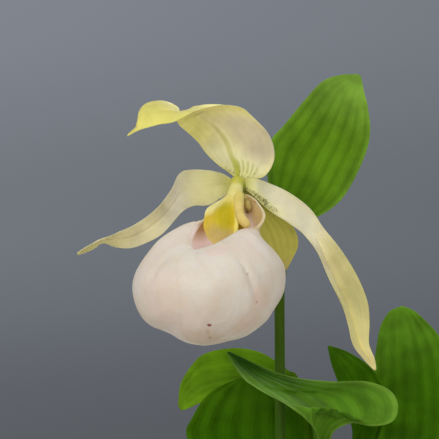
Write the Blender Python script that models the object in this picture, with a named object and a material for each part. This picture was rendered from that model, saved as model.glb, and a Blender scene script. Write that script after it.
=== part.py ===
"""Slipper orchid growing in a round pot: metres, +Z up, centre of the pot's foot at the origin.

Lengths are held in millimetres and turned to metres when a mesh is made. Petals and leaves are
sheets between two edges, each edge given by points sighted from one eye point in front.
"""

import math

import bmesh
import bpy
import numpy as np

MM = 0.001

# Sighting of the outlines
EYE = (-21.5, -600.0, 251.8)
STEP = 0.35
CENTRE = 219.5
FLOWER_DEPTH = -12.0

# Pot and soil
POT_RIM_RADIUS = 65.0
POT_NECK_RADIUS = 61.5
POT_FOOT_RADIUS = 45.0
POT_HEIGHT = 106.0
POT_RIM_DEPTH = 18.0
POT_WALL = 4.5
POT_FLOOR = 6.0
DRAIN_RADIUS = 4.0
DRAIN_RING = 22.0
DRAINS = 3
SOIL_TOP = 96.5
SOIL_GAP = 0.4

# Stems
STEM_FOOT = (0.0, 0.0, 78.0)
STEM_TOP = (0.0, 0.0, 243.0)
STEM_RADIUS_FOOT = 2.4
STEM_RADIUS_TOP = 1.85
SHOOT_FOOT = (26.0, 24.0, 78.0)
SHOOT_TOP = (30.0, 28.0, 165.0)
SHOOT_RADIUS = 2.1
FIT = 0.35

# Flower centre
HUB = (-15.5, -20.0, 264.4)
HUB_RADIUS = 2.0
OVARY_RADIUS = 2.5
PETAL_THICK = 0.7
LEAF_THICK = 0.8

# Pouch
POUCH_CENTRE = (-24.8, -40.0, 230.4)
POUCH_TURN = 25.0
POUCH_FRONT = 27.0
POUCH_SIDE = 24.3
POUCH_BELOW = 19.4
POUCH_ABOVE = 21.0
POUCH_DIP = 8.0
POUCH_WALL = 0.8


def clear_scene():
    """Remove every object that a new file starts with."""
    for item in list(bpy.data.objects):
        bpy.data.objects.remove(item, do_unlink=True)


def finish(name, colour, roughness):
    """Plain shader of one colour for one piece."""
    shade = bpy.data.materials.new(name + "_finish")
    shade.use_nodes = True
    node = shade.node_tree.nodes["Principled BSDF"]
    node.inputs["Base Color"].default_value = (*colour, 1.0)
    node.inputs["Roughness"].default_value = roughness
    node.inputs["Metallic"].default_value = 0.0
    return shade


def place(name, points, faces, colour, roughness=0.6):
    """Make one closed piece of millimetre points, its faces turned outwards."""
    mesh = bpy.data.meshes.new(name)
    mesh.from_pydata([tuple(float(c) * MM for c in p) for p in points], [], faces)
    shape = bmesh.new()
    shape.from_mesh(mesh)
    bmesh.ops.recalc_face_normals(shape, faces=shape.faces)
    shape.to_mesh(mesh)
    shape.free()
    piece = bpy.data.objects.new(name, mesh)
    bpy.context.scene.collection.objects.link(piece)
    mesh.materials.append(finish(name, colour, roughness))
    mesh.shade_smooth()
    mesh.set_sharp_from_angle(angle=math.radians(40))
    return piece


def sighted(across, down, depth):
    """Point in millimetres that is seen at this step of the sighting plane, at this depth."""
    reach = STEP * (depth - EYE[1]) / -EYE[1]
    return (EYE[0] + (across - CENTRE) * reach, depth, EYE[2] - (down - CENTRE) * reach)


def smooth(values, where):
    """Catmull-Rom curve through the rows, read at the positions (in rows)."""
    rows = np.asarray(values, float)
    last = len(rows) - 1
    out = []
    for spot in where:
        i = min(int(spot), last - 1)
        t = spot - i
        p1, p2 = rows[i], rows[i + 1]
        p0 = rows[i - 1] if i > 0 else 2 * p1 - p2
        p3 = rows[i + 2] if i + 2 <= last else 2 * p2 - p1
        out.append(0.5 * (2 * p1 + (p2 - p0) * t + (2 * p0 - 5 * p1 + 4 * p2 - p3) * t * t
                          + (3 * p1 - p0 - 3 * p2 + p3) * t ** 3))
    return np.array(out)


def even(values, count):
    """Positions in rows that split the curve's length evenly."""
    fine = np.linspace(0, len(values) - 1, 12 * len(values))
    line = smooth(values, fine)
    run = np.concatenate([[0], np.cumsum(np.linalg.norm(np.diff(line, axis=0), axis=1))])
    return np.interp(np.linspace(0, run[-1], count), run, fine)


def unit(rows):
    """Rows scaled to length one."""
    return rows / np.maximum(np.linalg.norm(rows, axis=-1, keepdims=True), 1e-9)


def clasp(centre, radius, facing, wrap, z):
    """Rib that runs round a stem, with its middle on the side that faces this way."""
    turn = math.radians(facing)
    out = np.array([math.cos(turn), math.sin(turn), 0.0])
    side = np.array([out[1], -out[0], 0.0])
    half = math.radians(wrap) / 2
    middle = np.array([centre[0], centre[1], z]) + out * radius * math.cos(half)
    reach = side * radius * math.sin(half)
    return (*(middle - reach), *(middle + reach), wrap)


def collar(centre, radius, facing, low, high, point=0.5):
    """Ribs of a sheath round a stem that is open on one side and ends in a point."""
    out = []
    for t in np.linspace(0, 1, 9):
        wrap = 300 - 272 * max(0.0, t - point) / (1 - point)
        out.append(clasp(centre, radius + 0.25 * t, facing, wrap, low + (high - low) * t))
    return out


def ribs(rows, shift=0.0):
    """Ribs in millimetres from sighted rows of left edge, right edge and wrap."""
    return [(*sighted(a, b, c + shift), *sighted(d, e, f + shift), w) for a, b, c, d, e, f, w in rows]


def sheet_middle(rib_rows, along, across):
    """Grid of points half way through a sheet, from its base to its tip."""
    rib_rows = np.asarray(rib_rows, float)
    spots = even((rib_rows[:, 0:3] + rib_rows[:, 3:6]) / 2, along)
    curve = smooth(rib_rows, spots)
    left, right = curve[:, 0:3], curve[:, 3:6]
    wrap = np.radians(np.clip(curve[:, 6], -330, 330))
    wrap = np.where(np.abs(wrap) < 0.02, 0.02, wrap)
    chord = (left + right) / 2
    hug = np.clip((np.degrees(wrap) - 100) / 120, 0, 1)[:, None]
    run = unit(unit(np.gradient(chord, axis=0)) * (1 - hug) + np.array([0, 0, 1.0]) * hug)
    width = right - left
    half = np.linalg.norm(width, axis=1) / 2
    normal = unit(np.cross(width, run))
    radius = half / np.sin(wrap / 2)
    lean = (np.linspace(-0.5, 0.5, across)[None, :] * wrap[:, None])[..., None]
    r = radius[:, None, None]
    drop = r * np.cos(lean) - r * np.cos(wrap / 2)[:, None, None]
    return chord[:, None] + unit(width)[:, None] * r * np.sin(lean) - normal[:, None] * drop


def clear_of(grid, start, end, radius):
    """Push points out until they are this far from a straight rod."""
    a, b = np.asarray(start, float), np.asarray(end, float)
    step = b - a
    t = np.clip(((grid - a) @ step) / max(step @ step, 1e-9), 0, 1)[..., None]
    foot = a + t * step
    away = grid - foot
    gap = np.linalg.norm(away, axis=-1, keepdims=True)
    return np.where(gap < radius, foot + unit(away) * radius, grid)


def past_stem(grid, room=0.1):
    """Keep a leaf clear of the flowering stem."""
    return clear_of(grid, (0, 0, 90), STEM_TOP, STEM_RADIUS_FOOT + FIT + room + LEAF_THICK / 2)


def past_shoot(grid):
    """Keep a leaf clear of the leafy shoot's stem."""
    return clear_of(grid, (*shoot_at(97), 97), SHOOT_TOP, SHOOT_RADIUS + FIT + 0.1 + LEAF_THICK / 2)


def grid_normals(grid):
    """Normals of a grid of points, out of the inner face."""
    along = np.gradient(grid, axis=0)
    across = np.gradient(grid, axis=1)
    return unit(np.cross(across, along))


def sheet(name, grid, thick, colour, roughness=0.6, edge=0.55):
    """Closed sheet of a grid of points, thinner along its two edges and its tip."""
    rows, cols = grid.shape[:2]
    v = np.abs(np.linspace(-1, 1, cols))[None, :, None]
    half = thick / 2 * (1 - (1 - edge) * v ** 3) * np.ones((rows, 1, 1))
    normal = grid_normals(grid)
    points = np.concatenate([(grid + normal * half).reshape(-1, 3), (grid - normal * half).reshape(-1, 3)])
    back = rows * cols
    faces = []
    for i in range(rows - 1):
        for j in range(cols - 1):
            a, b, c, d = i * cols + j, i * cols + j + 1, (i + 1) * cols + j + 1, (i + 1) * cols + j
            faces += [(a, b, c, d), (back + d, back + c, back + b, back + a)]
    edge_loop = [j for j in range(cols)] + [i * cols + cols - 1 for i in range(1, rows)]
    edge_loop += [(rows - 1) * cols + j for j in range(cols - 2, -1, -1)] + [i * cols for i in range(rows - 2, 0, -1)]
    for a, b in zip(edge_loop, edge_loop[1:] + edge_loop[:1]):
        faces.append((b, a, back + a, back + b))
    return place(name, points, faces, colour, roughness)


def rod(name, line, radii, colour, sides=14, roughness=0.6):
    """Closed round rod along a line of points, one radius a point."""
    line = np.asarray(line, float)
    run = unit(np.gradient(line, axis=0))
    points, faces = [], []
    side = unit(np.cross(run[0], (0.31, 0.95, 0.05)))
    for centre, ahead, radius in zip(line, run, radii):
        side = unit(side - ahead * (side @ ahead))
        other = np.cross(ahead, side)
        for k in range(sides):
            turn = 2 * math.pi * k / sides
            points.append(centre + radius * (side * math.cos(turn) + other * math.sin(turn)))
    for i in range(len(line) - 1):
        for k in range(sides):
            a, b = i * sides + k, i * sides + (k + 1) % sides
            faces.append((a, b, b + sides, a + sides))
    faces.append(tuple(range(sides - 1, -1, -1)))
    faces.append(tuple(range((len(line) - 1) * sides, len(line) * sides)))
    return place(name, points, faces, colour, roughness)


def turned(name, outline, colour, sides=48, roughness=0.8):
    """Solid turned about the Z axis from an outline that starts and ends on the axis."""
    points, faces = [(0, 0, outline[0][1]), (0, 0, outline[-1][1])], []
    inner = outline[1:-1]
    for radius, height in inner:
        for k in range(sides):
            turn = 2 * math.pi * k / sides
            points.append((radius * math.cos(turn), radius * math.sin(turn), height))
    for i in range(len(inner) - 1):
        for k in range(sides):
            a, b = 2 + i * sides + k, 2 + i * sides + (k + 1) % sides
            faces.append((a, b, b + sides, a + sides))
    last = 2 + (len(inner) - 1) * sides
    for k in range(sides):
        faces.append((0, 2 + (k + 1) % sides, 2 + k))
        faces.append((1, last + k, last + (k + 1) % sides))
    return place(name, points, faces, colour, roughness)


def bore(piece, name, start, end, radius, sides=16):
    """Cut a round hole through a piece."""
    cutter = rod(name, [start, end], [radius, radius], (0.5, 0.5, 0.5), sides)
    cutter.hide_render = True
    cutter.display_type = "WIRE"
    cut = piece.modifiers.new(name, "BOOLEAN")
    cut.operation = "DIFFERENCE"
    cut.solver = "EXACT"
    cut.object = cutter


def pot():
    """Thrown clay pot with a deep rim band and drain holes in its floor."""
    band = POT_HEIGHT - POT_RIM_DEPTH
    inner_rim = POT_RIM_RADIUS - POT_WALL
    inner_foot = POT_FOOT_RADIUS - POT_WALL
    outline = [(0, 0), (POT_FOOT_RADIUS - 1.5, 0), (POT_FOOT_RADIUS, 1.5), (POT_NECK_RADIUS - 0.5, band - 2),
               (POT_NECK_RADIUS, band), (POT_RIM_RADIUS - 0.8, band + 0.6), (POT_RIM_RADIUS, band + 2.5),
               (POT_RIM_RADIUS, POT_HEIGHT - 2), (POT_RIM_RADIUS - 1.5, POT_HEIGHT),
               (inner_rim + 1.2, POT_HEIGHT), (inner_rim, POT_HEIGHT - 2),
               (POT_NECK_RADIUS - POT_WALL, band), (inner_foot, POT_FLOOR), (0, POT_FLOOR)]
    piece = turned("pot", outline, (0.42, 0.19, 0.11))
    for k in range(DRAINS):
        turn = 2 * math.pi * k / DRAINS + math.pi / 2
        x, y = DRAIN_RING * math.cos(turn), DRAIN_RING * math.sin(turn)
        bore(piece, "drain_cut_%d" % (k + 1), (x, y, -2), (x, y, POT_FLOOR + 2), DRAIN_RADIUS)


def soil():
    """Body of soil in the pot, with a hole round each stem."""
    band = POT_HEIGHT - POT_RIM_DEPTH
    neck = POT_NECK_RADIUS - POT_WALL - SOIL_GAP - 0.1
    top = neck + (SOIL_TOP - 1.5 - band) * 0.19 - 0.2
    foot = POT_FOOT_RADIUS - POT_WALL - SOIL_GAP - 0.2
    outline = [(0, POT_FLOOR + SOIL_GAP), (foot, POT_FLOOR + SOIL_GAP), (neck, band),
               (top, SOIL_TOP - 1.8), (top - 3, SOIL_TOP - 1.0), (30, SOIL_TOP - 0.3), (0, SOIL_TOP)]
    piece = turned("soil", outline, (0.06, 0.04, 0.028), roughness=0.95)
    for name, foot_at, radius in (("stem_cut", STEM_FOOT, STEM_RADIUS_FOOT), ("shoot_cut", SHOOT_FOOT, SHOOT_RADIUS)):
        x, y, z = foot_at
        bore(piece, name, (x, y, z - FIT - 0.2), (x, y, SOIL_TOP + 3), radius + 0.1 + FIT)


def stem_radius(z):
    """Radius of the flowering stem at a height."""
    t = (z - STEM_FOOT[2]) / (STEM_TOP[2] - STEM_FOOT[2])
    return STEM_RADIUS_FOOT + (STEM_RADIUS_TOP - STEM_RADIUS_FOOT) * t


def shoot_at(z):
    """Centre of the leafy shoot's stem at a height."""
    t = max(0.0, (z - 97.0) / (SHOOT_TOP[2] - 97.0))
    return tuple(SHOOT_FOOT[i] + (SHOOT_TOP[i] - SHOOT_FOOT[i]) * t for i in (0, 1))


def stems():
    """Flowering stem and the stem of the leafy shoot beside it."""
    heights = [STEM_FOOT[2], STEM_FOOT[2] + 1, 120, 160, 200, STEM_TOP[2] - 1, STEM_TOP[2]]
    radii = [1.6] + [stem_radius(z) for z in heights[1:-1]] + [1.3]
    rod("stem", [(0, 0, z) for z in heights], radii, (0.10, 0.20, 0.02), roughness=0.5)
    heights = [SHOOT_FOOT[2], SHOOT_FOOT[2] + 1, 97, 130, SHOOT_TOP[2] - 1, SHOOT_TOP[2]]
    line = [(*shoot_at(z), z) for z in heights]
    rod("shoot_stem", line, [1.4, SHOOT_RADIUS, SHOOT_RADIUS, 2.0, 1.8, 1.2], (0.12, 0.24, 0.03))


def ovary():
    """Seed vessel that carries the flower, swollen in its middle."""
    a, b = np.array([-0.3, -0.4, STEM_TOP[2] + 1.4]), np.array(HUB)
    b = b - unit(b - a) * (HUB_RADIUS + FIT)
    bend = np.array([0.9, 0.5, 1.0])
    spots = (0.0, 0.05, 0.2, 0.4, 0.6, 0.8, 0.93, 1.0)
    line = [a + (b - a) * t + bend * 4 * t * (1 - t) * 0.8 for t in spots]
    radii = [1.2, 1.75, 2.1, OVARY_RADIUS, OVARY_RADIUS, 2.1, 1.55, 1.2]
    rod("ovary", line, radii, (0.28, 0.36, 0.06))


def past_hub(grid, thick=PETAL_THICK):
    """Keep a sheet clear of the knob, the seed vessel and the column."""
    room = FIT + 0.08 + thick / 2
    grid = clear_of(grid, HUB, HUB, HUB_RADIUS + room)
    mid = np.array(HUB) * 0.72 + np.array(STEM_TOP) * 0.28 + np.array([0.4, 0.2, 0.4])
    grid = clear_of(clear_of(grid, HUB, mid, 1.75 + room), mid, STEM_TOP, OVARY_RADIUS + 0.3 + room)
    return clear_of(grid, HUB, COLUMN_END, 1.6 + room)


def dorsal_sepal():
    """Upper sepal, which rises, leans left and turns its outer face over."""
    rows = [(235.0, 178, -6, 240.0, 177.5, -6, 60), (229, 172.5, -5, 250, 177.4, -3.2, 50),
            (218, 165, -4, 263, 176.0, -3.8, 45), (206, 153.5, -6, 272, 166, -3.5, 42),
            (198, 142.5, -8, 274.5, 151, -2, 40), (187.5, 132.5, -14, 268, 133, -2, 40),
            (180, 126, -20, 249, 112, -6, 50),
            (176, 121, -22, 222, 105, -14, 60), (176, 116.5, -22, 196, 110, -28, 50),
            (178, 108, -22, 174.5, 121.7, -33, 35), (163, 101, -24, 160, 124, -35, 35),
            (145, 104.5, -27, 149, 127, -34, 35), (138, 116, -30, 141, 129.5, -34, 30),
            (135, 127, -31.5, 134.5, 132.5, -34, 20), (128.5, 133.5, -33, 127.5, 136.5, -33.6, 10)]
    grid = past_hub(sheet_middle(ribs(rows, FLOWER_DEPTH), 26, 8))
    sheet("dorsal_sepal", grid, PETAL_THICK, (0.78, 0.72, 0.42))


def petal_left():
    """Petal on the viewer's left, long and gently waved."""
    rows = [(233, 186, -6.2, 233.5, 181, -6.0, 30), (226, 195, -6, 222, 174, -4.5, 30), (209, 204.5, -4, 205, 171, 0, 30),
            (195, 205.5, -6, 189, 170.5, 2, 25), (184, 211, -10, 178, 175.5, 0, 20),
            (172, 223.5, -14, 172, 189.5, -6, 25), (157, 237.5, -18, 157, 207.3, -14, 35),
            (135, 247.5, -22, 134, 225.5, -22, 40), (116, 247.5, -24, 117, 233.5, -28, 40),
            (103, 243.7, -27, 101, 239, -32, 30), (92, 249.5, -30, 90, 244.5, -34, 20),
            (78, 255.2, -34, 77.2, 253, -35, 5)]
    grid = past_hub(sheet_middle(ribs(rows, FLOWER_DEPTH), 24, 8))
    sheet("petal_left", grid, PETAL_THICK, (0.74, 0.70, 0.42))


def petal_right():
    """Petal on the viewer's right, folded along its length and hanging."""
    rows = [(241.5, 179.8, -6.2, 242, 185.5, -6.4, 30), (256, 180.4, -7.4, 254, 196, -8.6, 30), (275, 185.5, -2, 270, 212, -8, 30),
            (293, 195, -4, 288, 222.5, -10, 40), (310, 208.5, -8, 302, 232, -14, 50),
            (323, 227, -12, 313, 247.5, -20, 70), (340, 249, -14, 324, 266, -26, 80),
            (357, 275, -16, 335, 289, -30, 80), (367, 300, -18, 343, 308.5, -32, 70),
            (369, 322, -20, 349.5, 328, -32, 60), (369, 343, -24, 354.5, 346, -32, 40),
            (374.5, 358, -28, 364, 360, -32, 20), (376.3, 369, -32, 374.5, 370.5, -32.6, 5)]
    grid = past_hub(sheet_middle(ribs(rows, FLOWER_DEPTH), 26, 8))
    sheet("petal_right", grid, PETAL_THICK, (0.78, 0.72, 0.42))


def synsepal():
    """Joined lower sepals behind the pouch."""
    rows = [(243, 190.5, -7.0, 238.5, 191, -7.1, 40), (266, 205, -4, 241, 205, -5, 40), (284, 218, -2, 243, 222, -4, 35),
            (296, 232, 0, 247, 240, -2.6, 30), (298, 246, 1, 253, 256, -1.5, 25), (293, 258, 1.5, 264, 266, -0.6, 20),
            (287, 269.5, 1, 284.5, 270.5, 0.6, 5)]
    grid = past_hub(sheet_middle(ribs(rows, FLOWER_DEPTH), 16, 8))
    sheet("synsepal", grid, PETAL_THICK, (0.42, 0.40, 0.10))


def bract():
    """Leafy bract that stands behind the flower."""
    base = [clasp(STEM_TOP, 2.85, 55, 200, 233), clasp(STEM_TOP, 2.9, 55, 190, 240)]
    rows = [(272, 215, 3, 296, 222, 2, 120), (268, 190, 6, 318, 217, 4, 80), (267, 165, 10, 340, 200, 7, 60),
            (271, 141, 13, 357, 174, 10, 50), (284, 125, 15, 367, 150, 12, 40), (302, 103, 16, 370, 130, 14, 35),
            (322, 82, 17, 368, 108, 16, 30), (340, 75, 18, 364, 91, 18, 25), (358, 74, 20, 361, 76.5, 20, 5)]
    sheet("bract", sheet_middle(base + ribs(rows), 22, 9), LEAF_THICK, (0.12, 0.28, 0.02))


def leaf_front():
    """Leaf of the shoot beside the stem, which leans forward and sweeps across to the left."""
    base = [clasp(shoot_at(113), 3.35, 195, 290, 113.2), clasp(shoot_at(119), 3.4, 195, 260, 119),
            (20.5, 13, 138, 24, 22, 138, 170), (15.5, -2, 157, 20, 8, 157, 130)]
    rows = [(318, 439, -20, 331, 439, -8, 100), (307, 421, -27, 349, 424, -6, 60),
            (294, 410, -32, 372, 426.5, -8, 45), (281, 401, -34, 393, 421, -4, 40), (268, 394, -34, 398, 405, 2, 40),
            (255, 386, -33, 389, 390, 5, 40), (245, 379, -32, 365, 381.5, 3, 40), (237, 370, -30, 330, 382, -3, 35),
            (231, 362, -28, 285, 375.5, -9, 25), (226.5, 353, -26, 229, 351.5, -25, 5)]
    grid = past_stem(past_shoot(sheet_middle(base + ribs(rows), 30, 11)))
    sheet("leaf_front", grid, LEAF_THICK, (0.13, 0.30, 0.03))


def leaf_behind():
    """Second leaf, broad and upright behind the stem."""
    base = [clasp(STEM_TOP, 3.45, 115, 290, 128), clasp(STEM_TOP, 3.5, 115, 260, 136)]
    rows = [(262, 520, 9, 303, 520, 7.5, 60), (215, 488, 13, 305, 488, 9, 50), (187, 439, 15, 308, 439, 10, 40),
            (193, 416, 15, 305, 414, 10, 35), (211, 392, 14, 292, 394, 10, 30), (243, 376, 12, 246, 376.5, 12, 5)]
    sheet("leaf_behind", past_stem(sheet_middle(base + ribs(rows), 20, 11), 0.4), LEAF_THICK, (0.07, 0.18, 0.02))


def leaf_back():
    """Third and lowest leaf, which rises at the back and arches over to the left."""
    base = [clasp(STEM_TOP, 3.55, 80, 290, 112.5), clasp(STEM_TOP, 3.6, 80, 260, 121)]
    rows = [(262, 535, 10, 312, 535, 8, 90), (259, 490, 17, 322, 490, 14, 60), (268, 440, 20, 320, 430, 17, 45),
            (285, 410, 17, 299, 379, 20, 20), (272, 402, 17, 288, 370, 24, 20), (258, 398, 17, 274, 359.5, 27, 20),
            (243, 396, 17, 260, 352, 30, 20), (228, 396, 17, 245, 348.7, 32, 20), (216, 398, 17, 231, 348.4, 33, 25),
            (206, 401, 18, 213, 351.4, 33, 25), (198, 404, 18, 199, 357.6, 32, 25), (192, 407, 19, 187, 372, 29, 25),
            (187, 409, 20, 180, 386, 26, 20), (181.5, 410.5, 22, 178, 406, 23, 5)]
    sheet("leaf_back", past_stem(sheet_middle(base + ribs(rows), 28, 11)), LEAF_THICK, (0.16, 0.34, 0.03))


def shoot_leaves():
    """Two leaves of the leafy shoot: one pointed and inner, one broad at the right."""
    base = [clasp(shoot_at(150), 3.05, 60, 280, 148), clasp(shoot_at(158), 3.1, 60, 250, 157)]
    rows = [(352, 437, 24, 380, 434, 28, 110), (350, 420, 22, 386, 415, 27, 70), (343, 400, 20, 386, 393, 26, 50),
            (336, 378, 19, 372, 369, 24, 40), (331, 361, 19, 350, 353, 22, 30), (327.5, 346.5, 20, 329.5, 345.5, 20.5, 5)]
    sheet("shoot_leaf_tip", past_shoot(sheet_middle(base + ribs(rows), 18, 11)), LEAF_THICK, (0.10, 0.26, 0.02))
    base = [clasp(shoot_at(133), 3.15, 40, 290, 132), clasp(shoot_at(140), 3.2, 40, 260, 139)]
    rows = [(355, 484, 35.5, 386, 488, 26, 100), (360, 455, 38, 425, 470, 30, 60), (363, 439, 40, 452, 439, 36, 40),
            (367, 410, 41, 455, 400, 39, 35), (372, 380, 42, 450, 360, 41, 30), (377, 345, 42, 439, 336, 43, 30),
            (381, 325.6, 42, 427, 322, 43, 25), (389.5, 311.4, 42, 414.5, 311, 42, 15), (401, 306.3, 42, 404, 306.3, 42, 5)]
    sheet("shoot_leaf_right", past_shoot(sheet_middle(base + ribs(rows), 22, 11)), LEAF_THICK, (0.10, 0.26, 0.02))


def sheaths():
    """Papery sheaths at the feet of the stems."""
    parts = [("sheath_lower", STEM_TOP, 4.85, 200, 97.6, 107.5, (0.30, 0.24, 0.12)),
             ("sheath_upper", STEM_TOP, 3.35, 20, 97.9, 111.2, (0.24, 0.28, 0.08)),
             ("shoot_sheath", shoot_at(104), 3.35, 240, 97.6, 111.5, (0.30, 0.26, 0.12))]
    for name, centre, radius, facing, low, high, colour in parts:
        sheet(name, sheet_middle(collar(centre, radius, facing, low, high), 9, 13), 0.6, colour)


def pouch_axes():
    """Forward and sideways directions of the pouch."""
    turn = math.radians(POUCH_TURN)
    return np.array([-math.sin(turn), -math.cos(turn), 0]), np.array([math.cos(turn), -math.sin(turn), 0])


def pouch_point(f, s, u):
    """Point given forward, sideways and upward from the pouch's centre."""
    ahead, side = pouch_axes()
    return np.array(POUCH_CENTRE) + f * ahead + s * side + u * np.array([0, 0, 1.0])


MOUTH_TURN = [0, 14, 30, 60, 90, 120, 142, 158, 170, 180, 190, 202, 218, 240, 270, 300, 330, 346]
MOUTH = [(8.4, 0, 11.2), (7.8, 2.2, 12.0), (6.5, 4.6, 13.0), (2.5, 8, 15.5), (-4, 9.6, 17.8), (-12, 11.2, 18.6),
         (-17.2, 12, 22), (-19.9, 8.4, 26.6), (-21.2, 4.3, 29.0), (-21.75, 0, 29.2), (-21.2, -3.9, 28.2),
         (-19.9, -7.3, 24.9), (-17.2, -8.9, 22.0), (-12, -9.8, 20.6), (-4, -8.2, 20), (3.4, -6.6, 16), (7.4, -3.2, 12.6),
         (8.2, -1.5, 11.6)]


def mouth_at(turn):
    """Edge of the pouch's mouth at an angle from its front, in degrees."""
    spot = np.interp(turn % 360, MOUTH_TURN + [360], range(len(MOUTH) + 1))
    ring = MOUTH[-2:] + MOUTH + MOUTH[:3]
    return smooth(ring, [spot + 2])[0]


def pouch_ring(turn):
    """Points up one side of the pouch, from near its bottom to inside its mouth."""
    a = math.radians(turn)
    c, s = math.cos(a), math.sin(a)
    above = POUCH_ABOVE - POUCH_DIP * max(0.0, c) ** 1.5
    shell = []
    for tilt in (14, 32, 50, 68, 86, 102, 118, 136):
        t = math.radians(tilt)
        low = max(0.0, math.cos(t))
        rise = -POUCH_BELOW * low if tilt < 90 else -above * math.cos(t)
        girth = math.sin(t) * (1 - 0.04 * low - 0.33 * low * max(0.0, -c))
        girth *= 1 + 0.03 * (0.42 * c - 0.91 * s) * math.sin(math.pi * low)
        shell.append(np.array([POUCH_FRONT * girth * c, POUCH_SIDE * girth * s, rise]))
    lip = mouth_at(turn)
    rear = max(0.0, -c) ** 1.5
    shell[-1] = shell[-1] * (1 - rear) + (shell[-2] * 0.45 + lip * 0.55) * rear
    inward = np.array([-c * 1.6, -s * 1.6, -2.2])
    curl = lip + inward * (1 - rear) + np.array([0, 0, 0.8]) * rear
    crest = lip + np.array([-c * 0.5, -s * 0.5, 0.3]) * (1 - rear) - np.array([0, 0, 0.4]) * rear
    near = shell[-1] * 0.35 + lip * 0.65 + np.array([c * 0.5, s * 0.5, 0.6]) * (1 - rear)
    return shell + [near, lip, crest * 0.5 + (lip + curl) * 0.25, curl]


def lip():
    """Inflated pouch with its mouth rolled in and its claw rising at the back."""
    sides = 32
    grid = np.array([[pouch_point(*p) for p in pouch_ring(360 * k / sides)] for k in range(sides)])
    ring = np.concatenate([grid[-1:], grid, grid[:1]])
    around = (ring[2:] - ring[:-2]) / 2
    along = np.gradient(grid, axis=1)
    normal = unit(np.cross(around, along))
    middle = np.array(POUCH_CENTRE) - np.array([0, 0, 4.0])
    if np.sum((grid[:, 3] - middle) * normal[:, 3]) < 0:
        normal = -normal
    outer, inner = grid + normal * POUCH_WALL / 2, grid - normal * POUCH_WALL / 2
    low = pouch_point(0, 0, -POUCH_BELOW)
    count = grid.shape[1]
    points = [*outer.reshape(-1, 3), *inner.reshape(-1, 3), low - (0, 0, POUCH_WALL / 2), low + (0, 0, POUCH_WALL / 2)]
    back = sides * count
    faces = []
    for k in range(sides):
        n = (k + 1) % sides
        for i in range(count - 1):
            a, b, c, d = k * count + i, n * count + i, n * count + i + 1, k * count + i + 1
            faces += [(a, b, c, d), (back + d, back + c, back + b, back + a)]
        faces += [(2 * back, n * count, k * count), (2 * back + 1, back + k * count, back + n * count)]
        faces.append((k * count + count - 1, n * count + count - 1, back + n * count + count - 1, back + k * count + count - 1))
    place("lip", points, faces, (0.80, 0.70, 0.60))


COLUMN_END = sighted(234.8, 196.5, -24.4)


def column():
    """Knob that holds the flower together, and the column that leans out of it."""
    a, b = np.array(HUB), np.array(COLUMN_END)
    ahead = unit(b - a)
    spots = [-0.98, -0.85, -0.5, 0.0, 0.6]
    line = [a + ahead * HUB_RADIUS * t for t in spots] + [a + (b - a) * t for t in (0.55, 0.8, 0.95, 1.0)]
    radii = [0.5, 1.1, 1.7, HUB_RADIUS, 1.7, 1.65, 1.85, 1.8, 1.3]
    rod("column", line, radii, (0.72, 0.66, 0.22), sides=16)


def centre_parts():
    """Shield, receptive finger and the two pollen bearers under the column."""
    rows = [(240.5, 199, -27, 230.5, 196.5, -27, 60), (238, 204, -29.5, 219, 203, -28, 70),
            (236, 210, -32, 210, 208.5, -29, 80), (235.5, 219, -35, 205.5, 218, -31, 90),
            (235, 229, -37, 205.5, 229, -33, 90), (231, 238, -39, 211, 240, -36, 60), (222, 246, -41, 219, 246.5, -41, 10)]
    flip = [(d, e, f, a, b, c, -w) for a, b, c, d, e, f, w in rows]
    grid = clear_of(sheet_middle(ribs(flip), 14, 8), HUB, COLUMN_END, 1.75 + FIT + 0.1 + 0.4)
    sheet("staminode", grid, 0.8, (0.70, 0.50, 0.04))
    line = [sighted(239.6, 202.5, -25.6), sighted(240.2, 204, -26.0), sighted(242.2, 208.5, -27.4),
            sighted(244.8, 215, -29.2), sighted(247, 221, -30.6), sighted(248.2, 225, -31.5), sighted(248.6, 227, -31.9)]
    rod("stigma", line, [0.8, 1.2, 1.3, 1.45, 1.6, 1.4, 0.7], (0.70, 0.62, 0.24), sides=12)
    ahead, side = pouch_axes()
    path = [(2.5, -0.3, 0.2), (2.8, -0.4, 0.2), (3.8, -1.0, -0.7), (4.3, -1.3, -2.2), (4.4, -1.3, -4.0), (4.2, -1.2, -5.0)]
    for name, hand in (("anther_near", 1), ("anther_far", -1)):
        line = [COLUMN_END + side * hand * s + ahead * f + np.array([0, 0, u]) for s, f, u in path]
        rod(name, line, [0.35, 0.5, 0.65, 1.0, 1.0, 0.45], (0.48, 0.40, 0.18), sides=10)


def build():
    """Make every piece in order, from the pot up to the flower."""
    clear_scene()
    pot()
    soil()
    stems()
    sheaths()
    leaf_back()
    leaf_behind()
    leaf_front()
    shoot_leaves()
    bract()
    ovary()
    dorsal_sepal()
    synsepal()
    petal_left()
    petal_right()
    lip()
    column()
    centre_parts()


build()
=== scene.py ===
"""Slipper orchid in a clay pot: living surfaces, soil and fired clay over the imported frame."""

import logging
import math
from dataclasses import dataclass, field
from enum import Enum

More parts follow.
